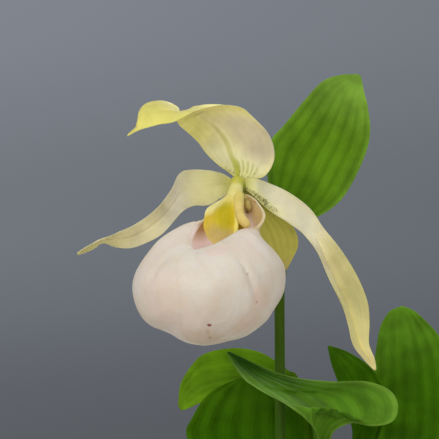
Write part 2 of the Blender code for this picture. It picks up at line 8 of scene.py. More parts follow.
import bmesh
import bpy
import numpy as np
from bpy.types import GeometryNodeTree, Material, Node, NodeSocket, NodeTree, Object, ShaderNodeTree
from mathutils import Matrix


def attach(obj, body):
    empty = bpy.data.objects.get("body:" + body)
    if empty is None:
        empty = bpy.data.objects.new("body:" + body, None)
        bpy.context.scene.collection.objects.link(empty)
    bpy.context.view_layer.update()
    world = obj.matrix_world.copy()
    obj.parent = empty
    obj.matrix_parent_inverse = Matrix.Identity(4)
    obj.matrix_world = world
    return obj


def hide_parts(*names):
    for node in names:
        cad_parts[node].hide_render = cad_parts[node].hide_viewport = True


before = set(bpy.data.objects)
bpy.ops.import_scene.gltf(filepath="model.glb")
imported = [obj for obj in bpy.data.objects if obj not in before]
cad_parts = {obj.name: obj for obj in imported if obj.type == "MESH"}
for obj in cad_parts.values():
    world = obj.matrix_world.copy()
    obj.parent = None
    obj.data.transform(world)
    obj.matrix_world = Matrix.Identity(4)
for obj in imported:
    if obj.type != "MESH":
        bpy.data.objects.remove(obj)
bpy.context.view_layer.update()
LOG = logging.getLogger("slipper_orchid")

MM = 0.001

# Sighting plane: the eye in millimetres, the size of a step where y is 0, and the step at the middle.
EYE = (-21.5, -600.0, 251.8)
STEP = 0.35
CENTRE = 219.5

# The plant's fixed places, in millimetres, and the turn of the flower, in degrees.
FLOWER_DEPTH = -12.0
FLOWER_TURN = 25.0
HUB = (-15.5, -20.0, 264.4)
STEM_TOP = (0.0, 0.0, 243.0)
SHOOT_FOOT = (26.0, 24.0)
SHOOT_TOP = (30.0, 28.0, 165.0)
SHOOT_LOW = 97.0

# Sheets: degrees of wrap that a rib may have, where a wrapped rib starts to follow its stem and over how
# many degrees, least wrap in radians, and the share of the thickness that is left at the margins.
MOST_WRAP = 330
HUG_FROM, HUG_OVER = 100, 120
LEAST_WRAP = 0.02
MARGIN = 0.4
SHEATH_WRAP, SHEATH_TIP_WRAP = 300, 28

# Turned pieces: most parts of one straight run and their length. The floor lies a little below the pot.
MOST_STEPS = 40
STEP_LENGTH = 2.0
FLOOR_DROP = -0.1

# Finishes: how far light scatters in green flesh, the span that noise fills, and a patch's full core.
BLACK = (0.0, 0.0, 0.0)
GREEN_RADIUS = (0.9, 0.8, 0.4)
NOISE_SPAN = (0.3, 0.7)
PATCH_CORE = 0.4

Point = tuple[float, float, float]
Colour = tuple[float, float, float]
Rib = tuple[float, ...]


def srgb(red: int, green: int, blue: int) -> Colour:
    """Linear colour of a screen colour given in 0 to 255."""
    return tuple(
        c / 255 / 12.92 if c <= 10 else ((c / 255 + 0.055) / 1.055) ** 2.4 for c in (red, green, blue)
    )


def stops(*rows: tuple[float, int, int, int]) -> list[tuple[float, Colour]]:
    """Stops of a ramp, from rows of place and screen colour."""
    return [(place, srgb(*colour)) for place, *colour in rows]


# ---- curves and sheets ----


def sighted(across: float, down: float, depth: float) -> Point:
    """Point seen at a step of the sighting plane.

    Args:
        across: Steps from the left of the sighting plane.
        down: Steps from its top.
        depth: Distance along +Y, in millimetres.

    Returns:
        The point in millimetres.
    """
    reach = STEP * (depth - EYE[1]) / -EYE[1]
    return (EYE[0] + (across - CENTRE) * reach, depth, EYE[2] - (down - CENTRE) * reach)


def seen_at(points: np.ndarray) -> np.ndarray:
    """Steps across and down of the sighting plane at which millimetre points are seen."""
    reach = STEP * (points[..., 1] - EYE[1]) / -EYE[1]
    across = (points[..., 0] - EYE[0]) / reach + CENTRE
    down = (EYE[2] - points[..., 2]) / reach + CENTRE
    return np.stack([across, down], axis=-1)


def unit(rows: np.ndarray) -> np.ndarray:
    """Rows scaled to length one."""
    return rows / np.maximum(np.linalg.norm(rows, axis=-1, keepdims=True), 1e-9)


def smooth(values: np.ndarray, where: np.ndarray) -> np.ndarray:
    """Catmull-Rom curve through rows.

    Args:
        values: The rows that the curve passes through.
        where: Positions along it, counted in rows.

    Returns:
        One row for each position.
    """
    rows = np.asarray(values, float)
    last = len(rows) - 1
    i = np.clip(np.asarray(where).astype(int), 0, last - 1)
    t = (np.asarray(where) - i).reshape(-1, *([1] * (rows.ndim - 1)))
    padded = np.concatenate([2 * rows[:1] - rows[1:2], rows, 2 * rows[-1:] - rows[-2:-1]])
    p0, p1, p2, p3 = padded[i], padded[i + 1], padded[i + 2], padded[i + 3]
    return 0.5 * (
        2 * p1 + (p2 - p0) * t + (2 * p0 - 5 * p1 + 4 * p2 - p3) * t**2 + (3 * p1 - p0 - 3 * p2 + p3) * t**3
    )


def even(values: np.ndarray, count: int) -> np.ndarray:
    """Positions, counted in rows, that split a curve's length evenly."""
    fine = np.linspace(0, len(values) - 1, 12 * len(values))
    line = smooth(values, fine)
    run = np.concatenate([[0], np.cumsum(np.linalg.norm(np.diff(line, axis=0), axis=1))])
    return np.interp(np.linspace(0, run[-1], count), run, fine)


def clasp(centre: Point, radius: float, facing: float, wrap: float, z: float) -> Rib:
    """Rib that runs round a stem.

    Args:
        centre: Centre of the stem at that height.
        radius: Radius of the rib.
        facing: Direction in degrees that its middle faces.
        wrap: Degrees that it goes round.
        z: Its height.

    Returns:
        Left end, right end and wrap.
    """
    turn, half = math.radians(facing), math.radians(wrap) / 2
    out = np.array([math.cos(turn), math.sin(turn), 0.0])
    side = np.array([out[1], -out[0], 0.0])
    middle = np.array([centre[0], centre[1], z]) + out * radius * math.cos(half)
    reach = side * radius * math.sin(half)
    return (*(middle - reach), *(middle + reach), wrap)


def collar(centre: Point, radius: float, facing: float, low: float, high: float) -> list[Rib]:
    """Ribs of a sheath round a stem that is open on one side and ends in a point."""
    out = []
    for t in np.linspace(0, 1, 9):
        wrap = SHEATH_WRAP - (SHEATH_WRAP - SHEATH_TIP_WRAP) * max(0.0, t - 0.5) / 0.5
        out.append(clasp(centre, radius + 0.25 * t, facing, wrap, low + (high - low) * t))
    return out


def ribs(rows: list[Rib], shift: float = 0.0) -> list[Rib]:
    """Ribs from sighted rows of left edge, right edge and wrap, moved in depth by a shift."""
    return [(*sighted(a, b, c + shift), *sighted(d, e, f + shift), w) for a, b, c, d, e, f, w in rows]


def shoot_at(z: float) -> Point:
    """Centre of the leafy shoot's stem at a height."""
    t = max(0.0, (z - SHOOT_LOW) / (SHOOT_TOP[2] - SHOOT_LOW))
    return (*(foot + (top - foot) * t for foot, top in zip(SHOOT_FOOT, SHOOT_TOP)), z)


def level_axes(turn: float) -> tuple[np.ndarray, np.ndarray]:
    """Level directions ahead of and beside something turned by degrees."""
    a = math.radians(turn)
    return np.array([-math.sin(a), -math.cos(a), 0]), np.array([math.cos(a), -math.sin(a), 0])


def sheet_middle(rib_rows: list[Rib], along: int, across: int) -> np.ndarray:
    """Grid of points half way through a sheet.

    Args:
        rib_rows: Its ribs from base to tip.
        along: Points along it.
        across: Points across it.

    Returns:
        An array of along by across points, in millimetres.
    """
    rows = np.asarray(rib_rows, float)
    curve = smooth(rows, even((rows[:, 0:3] + rows[:, 3:6]) / 2, along))
    left, right = curve[:, 0:3], curve[:, 3:6]
    wrap = np.radians(np.clip(curve[:, 6], -MOST_WRAP, MOST_WRAP))
    wrap = np.where(np.abs(wrap) < LEAST_WRAP, LEAST_WRAP, wrap)
    chord = (left + right) / 2
    hug = np.clip((np.degrees(wrap) - HUG_FROM) / HUG_OVER, 0, 1)[:, None]
    run = unit(unit(np.gradient(chord, axis=0)) * (1 - hug) + np.array([0, 0, 1.0]) * hug)
    width = right - left
    normal = unit(np.cross(width, run))
    radius = (np.linalg.norm(width, axis=1) / 2 / np.sin(wrap / 2))[:, None, None]
    lean = (np.linspace(-0.5, 0.5, across)[None, :] * wrap[:, None])[..., None]
    drop = radius * np.cos(lean) - radius * np.cos(wrap / 2)[:, None, None]
    return chord[:, None] + unit(width)[:, None] * radius * np.sin(lean) - normal[:, None] * drop


def clear_of(grid: np.ndarray, start: Point, end: Point, radius: float) -> np.ndarray:
    """Grid with its points pushed out to a radius from a straight rod."""
    a, b = np.asarray(start, float), np.asarray(end, float)
    step = b - a
    t = np.clip(((grid - a) @ step) / max(float(step @ step), 1e-9), 0, 1)[..., None]
    foot = a + t * step
    away = grid - foot
    gap = np.linalg.norm(away, axis=-1, keepdims=True)
    return np.where(gap < radius, foot + unit(away) * radius, grid)


def grid_normals(grid: np.ndarray) -> np.ndarray:
    """Normals of a grid, out of its inner face."""
    return unit(np.cross(np.gradient(grid, axis=1), np.gradient(grid, axis=0)))


# ---- meshes ----


def add_object(name: str, data: bpy.types.ID) -> Object:
    """New object of some data in the scene."""
    thing = bpy.data.objects.new(name, data)
    bpy.context.scene.collection.objects.link(thing)
    return thing


def ring_faces(rings: int, sides: int, first: int = 0) -> list[tuple[int, ...]]:
    """Faces between rings of points, whose numbers start at a first one."""
    faces = []
    for i in range(rings - 1):
        for k in range(sides):
            a, b = first + i * sides + k, first + i * sides + (k + 1) % sides
            faces.append((a, b, b + sides, a + sides))
    return faces


def piece_from(
    name: str,
    points: np.ndarray,
    faces: list[tuple[int, ...]],
    uv: np.ndarray | None = None,
    marks: dict[str, np.ndarray] | None = None,
) -> Object:
    """Closed piece of millimetre points, its faces turned outwards.

    Args:
        name: The piece's name.
        points: Its points.
        faces: Its faces, as rows of point numbers.
        uv: Its place on the surface for each point, kept as the map "blade".
        marks: Further values for each point, by name.

    Returns:
        The new object, at the origin.
    """
    mesh = bpy.data.meshes.new(name)
    mesh.from_pydata((np.asarray(points, float) * MM).tolist(), [], faces)
    shape = bmesh.new()
    shape.from_mesh(mesh)
    bmesh.ops.recalc_face_normals(shape, faces=shape.faces)
    shape.to_mesh(mesh)
    shape.free()
    if uv is not None:
        layer = mesh.uv_layers.new(name="blade")
        corner = np.zeros(len(mesh.loops), np.int32)
        mesh.loops.foreach_get("vertex_index", corner)
        layer.data.foreach_set("uv", np.asarray(uv, np.float32)[corner].ravel())
    for key, values in (marks or {}).items():
        mark = mesh.attributes.new(key, "FLOAT", "POINT")
        mark.data.foreach_set("value", np.asarray(values, np.float32))
    mesh.shade_smooth()
    return add_object(name, mesh)


def sheet_piece(name: str, grid: np.ndarray, thick: float, growth: np.ndarray) -> Object:
    """Closed thin sheet of a grid of points.

    Args:
        name: The piece's name.
        grid: Points half way through it.
        thick: Thickness along its middle.
        growth: How thickly hairs grow at each point of the grid.

    Returns:
        The new object.
    """
    rows, cols = grid.shape[:2]
    u, v = np.meshgrid(np.linspace(0, 1, cols), np.linspace(0, 1, rows))
    half = (thick / 2 * (1 - (1 - MARGIN) * np.abs(2 * u - 1) ** 3))[..., None]
    normal = grid_normals(grid)
    points = np.concatenate([(grid + normal * half).reshape(-1, 3), (grid - normal * half).reshape(-1, 3)])
    back = rows * cols
    faces = []
    for i in range(rows - 1):
        for j in range(cols - 1):
            a, b, c, d = i * cols + j, i * cols + j + 1, (i + 1) * cols + j + 1, (i + 1) * cols + j
            faces += [(a, b, c, d), (back + d, back + c, back + b, back + a)]
    loop = list(range(cols)) + [i * cols + cols - 1 for i in range(1, rows)]
    loop += [(rows - 1) * cols + j for j in range(cols - 2, -1, -1)] + [i * cols for i in range(rows - 2, 0, -1)]
    faces += [(b, a, back + a, back + b) for a, b in zip(loop, loop[1:] + loop[:1])]
    uv = np.stack([u.ravel(), v.ravel()], axis=1)
    under = np.concatenate([np.zeros(back), np.ones(back)])
    marks = {"under": under, "growth": np.concatenate([growth.ravel(), growth.ravel()])}
    return piece_from(name, points, faces, np.concatenate([uv, uv]), marks)


def rod_piece(
    name: str, line: np.ndarray, radii: list[float], sides: int = 28, count: int = 60, flat: float = 1.0
) -> Object:
    """Closed round rod along a smooth line.

    Args:
        name: The piece's name.
        line: Points that its middle passes through.
        radii: Its radius at each of them.
        sides: Points round it.
        count: Rings along it.
        flat: Share of its width that is left across its second direction.

    Returns:
        The new object.
    """
    rows = np.column_stack([np.asarray(line, float), radii])
    curve = smooth(rows, even(rows[:, :3], count))
    centre, radius = curve[:, :3], np.maximum(curve[:, 3], 0.05)
    run = unit(np.gradient(centre, axis=0))
    side = unit(np.cross(run[0], (0.31, 0.95, 0.05)))
    turn = np.linspace(0, 2 * math.pi, sides, endpoint=False)[:, None]
    points = []
    for middle, ahead, r in zip(centre, run, radius):
        side = unit(side - ahead * (side @ ahead))
        other = np.cross(ahead, side) * flat
        points.append(middle + r * (side * np.cos(turn) + other * np.sin(turn)))
    faces = ring_faces(count, sides)
    faces += [tuple(range(sides - 1, -1, -1)), tuple(range((count - 1) * sides, count * sides))]
    u = np.tile(np.linspace(0, 1, sides, endpoint=False), count)
    v = np.repeat(np.linspace(0, 1, count), sides)
    marks = {"growth": np.ones(sides * count), "under": np.zeros(sides * count)}
    return piece_from(name, np.concatenate(points), faces, np.stack([u, v], axis=1), marks)


def turned_piece(name: str, outline: list[tuple[float, float]], sides: int) -> Object:
    """Solid turned about the Z axis.

    Args:
        name: The piece's name.
        outline: Radius and height of its corners, from the axis to the axis.
        sides: Points round it.

    Returns:
        The new object.
    """
    rings = []
    for (r0, z0), (r1, z1) in zip(outline[1:-1], outline[2:-1]):
        steps = max(1, min(MOST_STEPS, int(math.hypot(r1 - r0, z1 - z0) / STEP_LENGTH)))
        rings += [(r0 + (r1 - r0) * k / steps, z0 + (z1 - z0) * k / steps) for k in range(steps)]
    rings.append(outline[-2])
    turn = np.linspace(0, 2 * math.pi, sides, endpoint=False)
    points = [(0, 0, outline[0][1]), (0, 0, outline[-1][1])]
    for radius, height in rings:
        points += [(radius * math.cos(a), radius * math.sin(a), height) for a in turn]
    faces = ring_faces(len(rings), sides, 2)
    last = 2 + (len(rings) - 1) * sides
    for k in range(sides):
        faces += [(0, 2 + (k + 1) % sides, 2 + k), (1, last + k, last + (k + 1) % sides)]
    return piece_from(name, np.array(points, float), faces)


def settle(piece: Object, slot: str, node: str | None = None) -> None:
    """Hand a finished piece to the frame.

    Args:
        piece: The finished piece, dressed and at the origin.
        slot: Material slot of the record, named in the log when there is no node.
        node: CAD node that it stands for, if any.
    """
    if node:
        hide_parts(node)
    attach(piece, "root")
    LOG.info("%s: %d faces on %s", piece.name, len(piece.data.polygons), node or slot)


def dress(piece: Object, skin: Material, slot: str, node: str) -> Object:
    """Piece with its skin, handed to the frame."""
    piece.data.materials.append(skin)
    settle(piece, slot, node)
    return piece


# ---- node trees ----


def put(tree: NodeTree, kind: str, inputs: dict | None = None, **settings: object) -> Node:
    """Add a node to a tree.

    Args:
        tree: The tree.
        kind: The node's type.
        inputs: Values or output sockets for its inputs, by name or number.
        settings: Its own properties.

    Returns:
        The new node.
    """
    node = tree.nodes.new(kind)
    for key, value in settings.items():
        setattr(node, key, value)
    for key, value in (inputs or {}).items():
        if isinstance(value, NodeSocket):
            tree.links.new(value, node.inputs[key])
        else:
            node.inputs[key].default_value = value
    return node


def calc(tree: NodeTree, operation: str, *values: float | NodeSocket) -> NodeSocket:
    """Result of one Math node."""
    return put(tree, "ShaderNodeMath", dict(enumerate(values)), operation=operation).outputs[0]


def vector_calc(tree: NodeTree, operation: str, *values: Point | NodeSocket) -> Node:
    """One Vector Math node."""
    return put(tree, "ShaderNodeVectorMath", dict(enumerate(values)), operation=operation)


def blend_colour(
    tree: NodeTree, amount: float | NodeSocket, first: NodeSocket | Colour, second: NodeSocket | Colour,
    mode: str = "MIX",
) -> NodeSocket:
    """Colour between two colours.

    Args:
        tree: The tree.
        amount: Share of the second colour.
        first: The first colour.
        second: The second colour.
        mode: Way in which they are mixed.

    Returns:
        The mixed colour's socket.
    """
    pair = {0: amount}
    for key, colour in ((6, first), (7, second)):
        pair[key] = colour if isinstance(colour, NodeSocket) else (*colour, 1.0)
    return put(tree, "ShaderNodeMix", pair, data_type="RGBA", blend_type=mode).outputs[2]


def tint(
    tree: NodeTree, colour: NodeSocket, mask: NodeSocket, share: float, over: NodeSocket | Colour
) -> NodeSocket:
    """Colour with a share of another one laid over it where a mask is."""
    return blend_colour(tree, calc(tree, "MULTIPLY", mask, share), colour, over)


def mark_value(tree: NodeTree, name: str) -> NodeSocket:
    """Value of a piece's mark."""
    return put(tree, "ShaderNodeAttribute", None, attribute_name=name).outputs["Fac"]


def split(tree: NodeTree, place: NodeSocket) -> bpy.types.NodeOutputs:
    """The three parts of a place."""
    return put(tree, "ShaderNodeSeparateXYZ", {0: place}).outputs


def level_grey(tree: NodeTree, value: NodeSocket) -> NodeSocket:
    """Grey of a value."""
    return put(tree, "ShaderNodeCombineColor", {0: value, 1: value, 2: value}).outputs[0]


def ramp(tree: NodeTree, amount: NodeSocket, stops: list[tuple[float, Colour]]) -> NodeSocket:
    """Colour read off a row of stops."""
    node = put(tree, "ShaderNodeValToRGB", {0: amount})
    node.color_ramp.interpolation = "EASE"
    while len(node.color_ramp.elements) < len(stops):
        node.color_ramp.elements.new(1.0)
    for element, (place, colour) in zip(node.color_ramp.elements, stops):
        element.position = place
        element.color = (*colour, 1.0)
    return node.outputs[0]


def spread(
    tree: NodeTree, value: NodeSocket, low: float, high: float | NodeSocket, to_low: float, to_high: float
) -> NodeSocket:
    """Value moved smoothly from one range to another."""
    return put(
        tree, "ShaderNodeMapRange", {0: value, 1: low, 2: high, 3: to_low, 4: to_high},
        interpolation_type="SMOOTHSTEP",
    ).outputs[0]


def group_tree(name: str, inputs: list[tuple[str, str, object]], outputs: list[tuple[str, str]]) -> ShaderNodeTree:
    """Empty shader group with named sockets."""
    tree = bpy.data.node_groups.new(name, "ShaderNodeTree")
    for label, kind, value in inputs:
        tree.interface.new_socket(label, in_out="INPUT", socket_type=kind).default_value = value
    for label, kind in outputs:
        tree.interface.new_socket(label, in_out="OUTPUT", socket_type=kind)
    return tree


class SharedGroup(Enum):
    """Shader groups that several finishes place."""

    VEINS = "parallel_veins"
    PATCH = "soft_patch"
    MOTTLE = "mottle"

    def tree(self) -> ShaderNodeTree:
        """The group, built the first time it is asked for."""
        found = bpy.data.node_groups.get(self.value)
        if found:
            return found
        return {SharedGroup.VEINS: _veins, SharedGroup.PATCH: _patch, SharedGroup.MOTTLE: _mottle}[self]()

    def place(self, tree: NodeTree, inputs: dict) -> Node:
        """This group placed in a material with its own values."""
        return put(tree, "ShaderNodeGroup", inputs, node_tree=self.tree())


def _veins() -> ShaderNodeTree:
    """Group of lines that run along a blade and gather at its two ends."""
    number, vector = "NodeSocketFloat", "NodeSocketVector"
    tree = group_tree(
        SharedGroup.VEINS.value,
        [("Place", vector, (0, 0, 0)), ("Count", number, 8.0), ("Wander", number, 0.05), ("Width", number, 0.3)],
        [("Line", number), ("Ridge", number)],
    )
    source = put(tree, "NodeGroupInput")
    parts = split(tree, source.outputs["Place"])
    stretched = put(tree, "ShaderNodeCombineXYZ", {0: calc(tree, "MULTIPLY", parts[0], 3.0), 1: parts[1]})
    noise = put(tree, "ShaderNodeTexNoise", {"Vector": stretched.outputs[0], "Scale": 2.4, "Detail": 2.0})
    drift = calc(tree, "MULTIPLY", calc(tree, "SUBTRACT", noise.outputs[0], 0.5), source.outputs["Wander"])
    across = calc(tree, "ADD", parts[0], drift)
    phase = calc(tree, "MULTIPLY", across, source.outputs["Count"])
    saw = calc(tree, "ABSOLUTE", calc(tree, "SUBTRACT", calc(tree, "FRACT", phase), 0.5))
    line = spread(tree, saw, 0.0, source.outputs["Width"], 1.0, 0.0)
    wave = calc(tree, "COSINE", calc(tree, "MULTIPLY", phase, 2 * math.pi))
    put(tree, "NodeGroupOutput", {"Line": line, "Ridge": wave})
    return tree


def _patch() -> ShaderNodeTree:
    """Group of one soft-edged spot round a place."""
    vector = "NodeSocketVector"
    tree = group_tree(
        SharedGroup.PATCH.value,
        [("Place", vector, (0, 0, 0)), ("Centre", vector, (0, 0, 0)), ("Reach", vector, (1, 1, 1))],
        [("Mask", "NodeSocketFloat")],
    )
    source = put(tree, "NodeGroupInput")
    given = source.outputs
    away = vector_calc(tree, "SUBTRACT", given["Place"], given["Centre"]).outputs[0]
    scaled = vector_calc(tree, "DIVIDE", away, given["Reach"]).outputs[0]
    far = vector_calc(tree, "LENGTH", scaled).outputs["Value"]
    put(tree, "NodeGroupOutput", {"Mask": spread(tree, far, PATCH_CORE, 1.0, 1.0, 0.0)})
    return tree


def _mottle() -> ShaderNodeTree:
    """Group of a broad and a fine unevenness in the piece's own space."""
    number = "NodeSocketFloat"
    tree = group_tree(
        SharedGroup.MOTTLE.value,
        [("Broad Scale", number, 60.0), ("Fine Scale", number, 900.0), ("Stretch", number, 1.0)],
        [("Broad", number), ("Fine", number)],
    )
    source = put(tree, "NodeGroupInput")
    parts = split(tree, put(tree, "ShaderNodeTexCoord").outputs["Object"])
    tall = calc(tree, "MULTIPLY", parts[2], source.outputs["Stretch"])
    spot = put(tree, "ShaderNodeCombineXYZ", {0: parts[0], 1: parts[1], 2: tall}).outputs[0]
    unevenness = {}
    for label, detail in (("Broad", 3.0), ("Fine", 4.0)):
        scale = source.outputs[label + " Scale"]
        noise = put(tree, "ShaderNodeTexNoise", {"Vector": spot, "Scale": scale, "Detail": detail})
        unevenness[label] = noise.outputs[0]
    put(tree, "NodeGroupOutput", unevenness)
    return tree


# ---- finishes ----


@dataclass(frozen=True)
class Patch:
    """Soft spot of another colour at a place on a surface."""

    colour: Colour
    centre: Point
    reach: Point
    strength: float = 1.0


def on_blade(*rows: tuple[float, ...]) -> tuple[Patch, ...]:
    """Patches on a blade, from rows of screen colour, place, reach (each across and up) and strength."""
    return tuple(Patch(srgb(r, g, b), (u, v, 0), (du, dv, 1), share) for r, g, b, u, v, du, dv, share in rows)


def shader(name: str, **fixed: object) -> tuple[Material, NodeTree, Node]:
    """New material with its Principled shader.

    Args:
        name: The material's name.
        fixed: Constant values for the shader's sockets, with _ for a space.

    Returns:
        The material, its tree and its shader node.
    """
    material = bpy.data.materials.new(name)
    material.use_nodes = True
    tree = material.node_tree
    node = next(n for n in tree.nodes if n.type == "BSDF_PRINCIPLED")
    for key, value in fixed.items():
        node.inputs[key.replace("_", " ")].default_value = value
    return material, tree, node


def mottled(tree: NodeTree, broad: float, fine: float, stretch: float = 1.0) -> tuple[NodeSocket, NodeSocket]:
    """Broad and fine unevenness at two scales, drawn out along Z by a stretch."""
    node = SharedGroup.MOTTLE.place(tree, {"Broad Scale": broad, "Fine Scale": fine, "Stretch": stretch})
    return node.outputs["Broad"], node.outputs["Fine"]


def coat(
    tree: NodeTree, node: Node, colour: NodeSocket, grain: NodeSocket, rough: tuple[float, float],
    height: NodeSocket, strength: float, distance: float,
) -> None:
    """Give a shader its colour, uneven roughness and bump.

    Args:
        tree: The material's tree.
        node: Its shader.
        colour: The finished colour.
        grain: Unevenness that the roughness follows.
        rough: Least and most roughness.
        height: Height of the bump.
        strength: Strength of the bump.
        distance: Depth of the bump, in metres.
    """
    bump = put(tree, "ShaderNodeBump", {"Height": height, "Strength": strength, "Distance": distance})
    ends = {"Base Color": colour, "Roughness": spread(tree, grain, *NOISE_SPAN, *rough), "Normal": bump.outputs[0]}
    for label, value in ends.items():
        tree.links.new(value, node.inputs[label])


def patched(tree: NodeTree, colour: NodeSocket, place: NodeSocket, patches: tuple[Patch, ...]) -> NodeSocket:
    """Colour with soft patches laid over it, at their places."""
    for patch in patches:
        spot = SharedGroup.PATCH.place(tree, {"Place": place, "Centre": patch.centre, "Reach": patch.reach})
        colour = tint(tree, colour, spot.outputs[0], patch.strength, patch.colour)
    return colour


@dataclass(frozen=True)
class BladeFinish:
    """Skin of a petal, sepal or leaf, coloured along and across it."""

    name: str
    stops: list[tuple[float, Colour]]
    margin: Colour
    margin_share: float
    vein: Colour
    vein_count: float
    vein_share: float
    under: Colour
    under_share: float = 0.6
    vein_width: float = 0.28
    wander: float = 0.06
    vein_bump: float = 0.15
    fine_bump: float = 0.08
    roughness: float = 0.5
    gloss: float = 0.3
    glow: float = 0.15
    patches: tuple[Patch, ...] = ()
    mottle_share: float = 0.18
    fine_veins: tuple[float, float] = (4.3, 0.35)
    tip: tuple[float, float] = (0.76, 0.94)

    def make(self) -> Material:
        """Build the material.

        Returns:
            The material, which reads the map "blade" and the marks of a sheet.
        """
        material, tree, node = shader(
            self.name, Subsurface_Weight=self.glow, Subsurface_Radius=GREEN_RADIUS, Subsurface_Scale=0.0012,
            Specular_IOR_Level=self.gloss,
        )
        place = put(tree, "ShaderNodeUVMap", None, uv_map="blade").outputs[0]
        parts = split(tree, place)
        broad, fine = mottled(tree, 90.0, 1500.0)
        colour = ramp(tree, parts[1], self.stops)
        aside = calc(tree, "SUBTRACT", calc(tree, "MULTIPLY", parts[0], 2.0), 1.0)
        edge = calc(tree, "POWER", calc(tree, "ABSOLUTE", aside), 6.0)
        colour = patched(tree, tint(tree, colour, edge, self.margin_share, self.margin), place, self.patches)
        veins, fine_veins = (
            SharedGroup.VEINS.place(
                tree, {"Place": place, "Count": self.vein_count * more, "Wander": self.wander, "Width": width})
            for more, width in ((1.0, self.vein_width), self.fine_veins))
        tip = spread(tree, parts[1], *self.tip, 1.0, 0.05)
        faded = calc(tree, "MULTIPLY", veins.outputs["Line"], calc(tree, "ADD", broad, 0.35))
        colour = tint(tree, colour, calc(tree, "MULTIPLY", faded, tip), self.vein_share, self.vein)
        thin = calc(tree, "MULTIPLY", fine_veins.outputs["Line"], tip)
        colour = tint(tree, colour, thin, self.vein_share * 0.35, self.vein)
        colour = tint(tree, colour, mark_value(tree, "under"), self.under_share, self.under)
        uneven = spread(tree, broad, *NOISE_SPAN, 1.0 - self.mottle_share, 1.0 + self.mottle_share * 0.5)
        colour = blend_colour(tree, 1.0, colour, level_grey(tree, uneven), "MULTIPLY")
        height = calc(tree, "MULTIPLY", veins.outputs["Ridge"], self.vein_bump)
        for ridge, share in ((fine_veins.outputs["Ridge"], self.vein_bump * 0.3), (fine, self.fine_bump)):
            height = calc(tree, "ADD", height, calc(tree, "MULTIPLY", ridge, share))
        height = calc(tree, "MULTIPLY", height, tip)
        coat(tree, node, colour, fine, (self.roughness - 0.06, self.roughness + 0.08), height, 0.6, 0.0004)
        return material


@dataclass(frozen=True)
class FleshFinish:
    """Plain plant flesh with streaks, for stems, the seed vessel and the column."""

    name: str
    stops: list[tuple[float, Colour]]
    streak: Colour
    streak_share: float = 0.4
    roughness: float = 0.5
    glow: float = 0.1
    bump: float = 0.3
    stretch: float = 0.12

    def make(self) -> Material:
        """Build the material.

        Returns:
            The material, coloured along the map "blade" and streaked in the piece's own space.
        """
        material, tree, node = shader(
            self.name, Subsurface_Weight=self.glow, Subsurface_Radius=GREEN_RADIUS, Subsurface_Scale=0.001,
            Specular_IOR_Level=0.18)
        place = put(tree, "ShaderNodeUVMap", None, uv_map="blade").outputs[0]
        broad, fine = mottled(tree, 420.0, 2600.0, self.stretch)
        amount = spread(tree, broad, 0.42, 0.68, 0.0, self.streak_share)
        colour = blend_colour(tree, amount, ramp(tree, split(tree, place)[1], self.stops), self.streak)
        coat(tree, node, colour, fine, (self.roughness - 0.08, self.roughness + 0.1), broad, self.bump, 0.0003)
        return material


@dataclass(frozen=True)
class PouchFinish:
    """Waxy cream skin of the pouch, flushed with pink, with a warmer inner wall that glows faintly with painted
    light.
    """

    name: str
    spots: tuple[Patch, ...]
    cream: Colour = srgb(232, 224, 211)
    shade: Colour = srgb(222, 210, 190)
    blush: Colour = srgb(232, 211, 201)
    inner: Colour = srgb(234, 220, 222)
    # Darker yellow on the inner wall at the back under the rim: painted shade in the hollow.
    deep: Colour = srgb(196, 168, 84)
    band: Colour = srgb(206, 182, 120)
    vein: Colour = srgb(214, 190, 172)
    # Painted light: emission colour of the inner wall, a glow in place of light shining through the wall.
    glow: Colour = (0.15, 0.125, 0.11)

    def make(self) -> Material:
        """Build the material.

        Returns:
            The material, which reads the pouch's marks and its own space.
        """
        material, tree, node = shader(
            self.name, Subsurface_Weight=0.55, Subsurface_Radius=(1.0, 0.75, 0.55), Subsurface_Scale=0.002,
            Specular_IOR_Level=0.25, Emission_Strength=1.0,
        )
        place = put(tree, "ShaderNodeTexCoord").outputs["Object"]
        broad, fine = mottled(tree, 75.0, 1100.0)
        wide, crinkle = mottled(tree, 38.0, 420.0, 0.6)
        veins, inside, back, rim = (mark_value(tree, name) for name in ("vein", "under", "claw", "rim"))
        colour = blend_colour(tree, spread(tree, broad, 0.35, 0.7, 0.0, 0.8), self.cream, self.shade)
        colour = blend_colour(tree, spread(tree, wide, 0.45, 0.7, 0.0, 0.55), colour, self.blush)
        colour = patched(tree, tint(tree, colour, veins, 0.16, self.vein), place, self.spots)
        # The back mark lays painted shade on the inner wall of the claw.
        for mask, share, over in ((inside, 0.9, self.inner), (back, 0.8, self.deep), (rim, 0.85, self.band)):
            colour = tint(tree, colour, mask, share, over)
        # Painted light: the inner wall glows with that colour, except at the back of the claw.
        painted_inner_glow = blend_colour(tree, inside, BLACK, self.glow)
        tree.links.new(blend_colour(tree, back, painted_inner_glow, BLACK), node.inputs["Emission Color"])
        height = calc(tree, "MULTIPLY", crinkle, 0.5)
        for ridge in (fine, veins):
            height = calc(tree, "ADD", height, calc(tree, "MULTIPLY", ridge, 0.12))
        coat(tree, node, colour, fine, (0.4, 0.56), height, 0.6, 0.001)
        return material


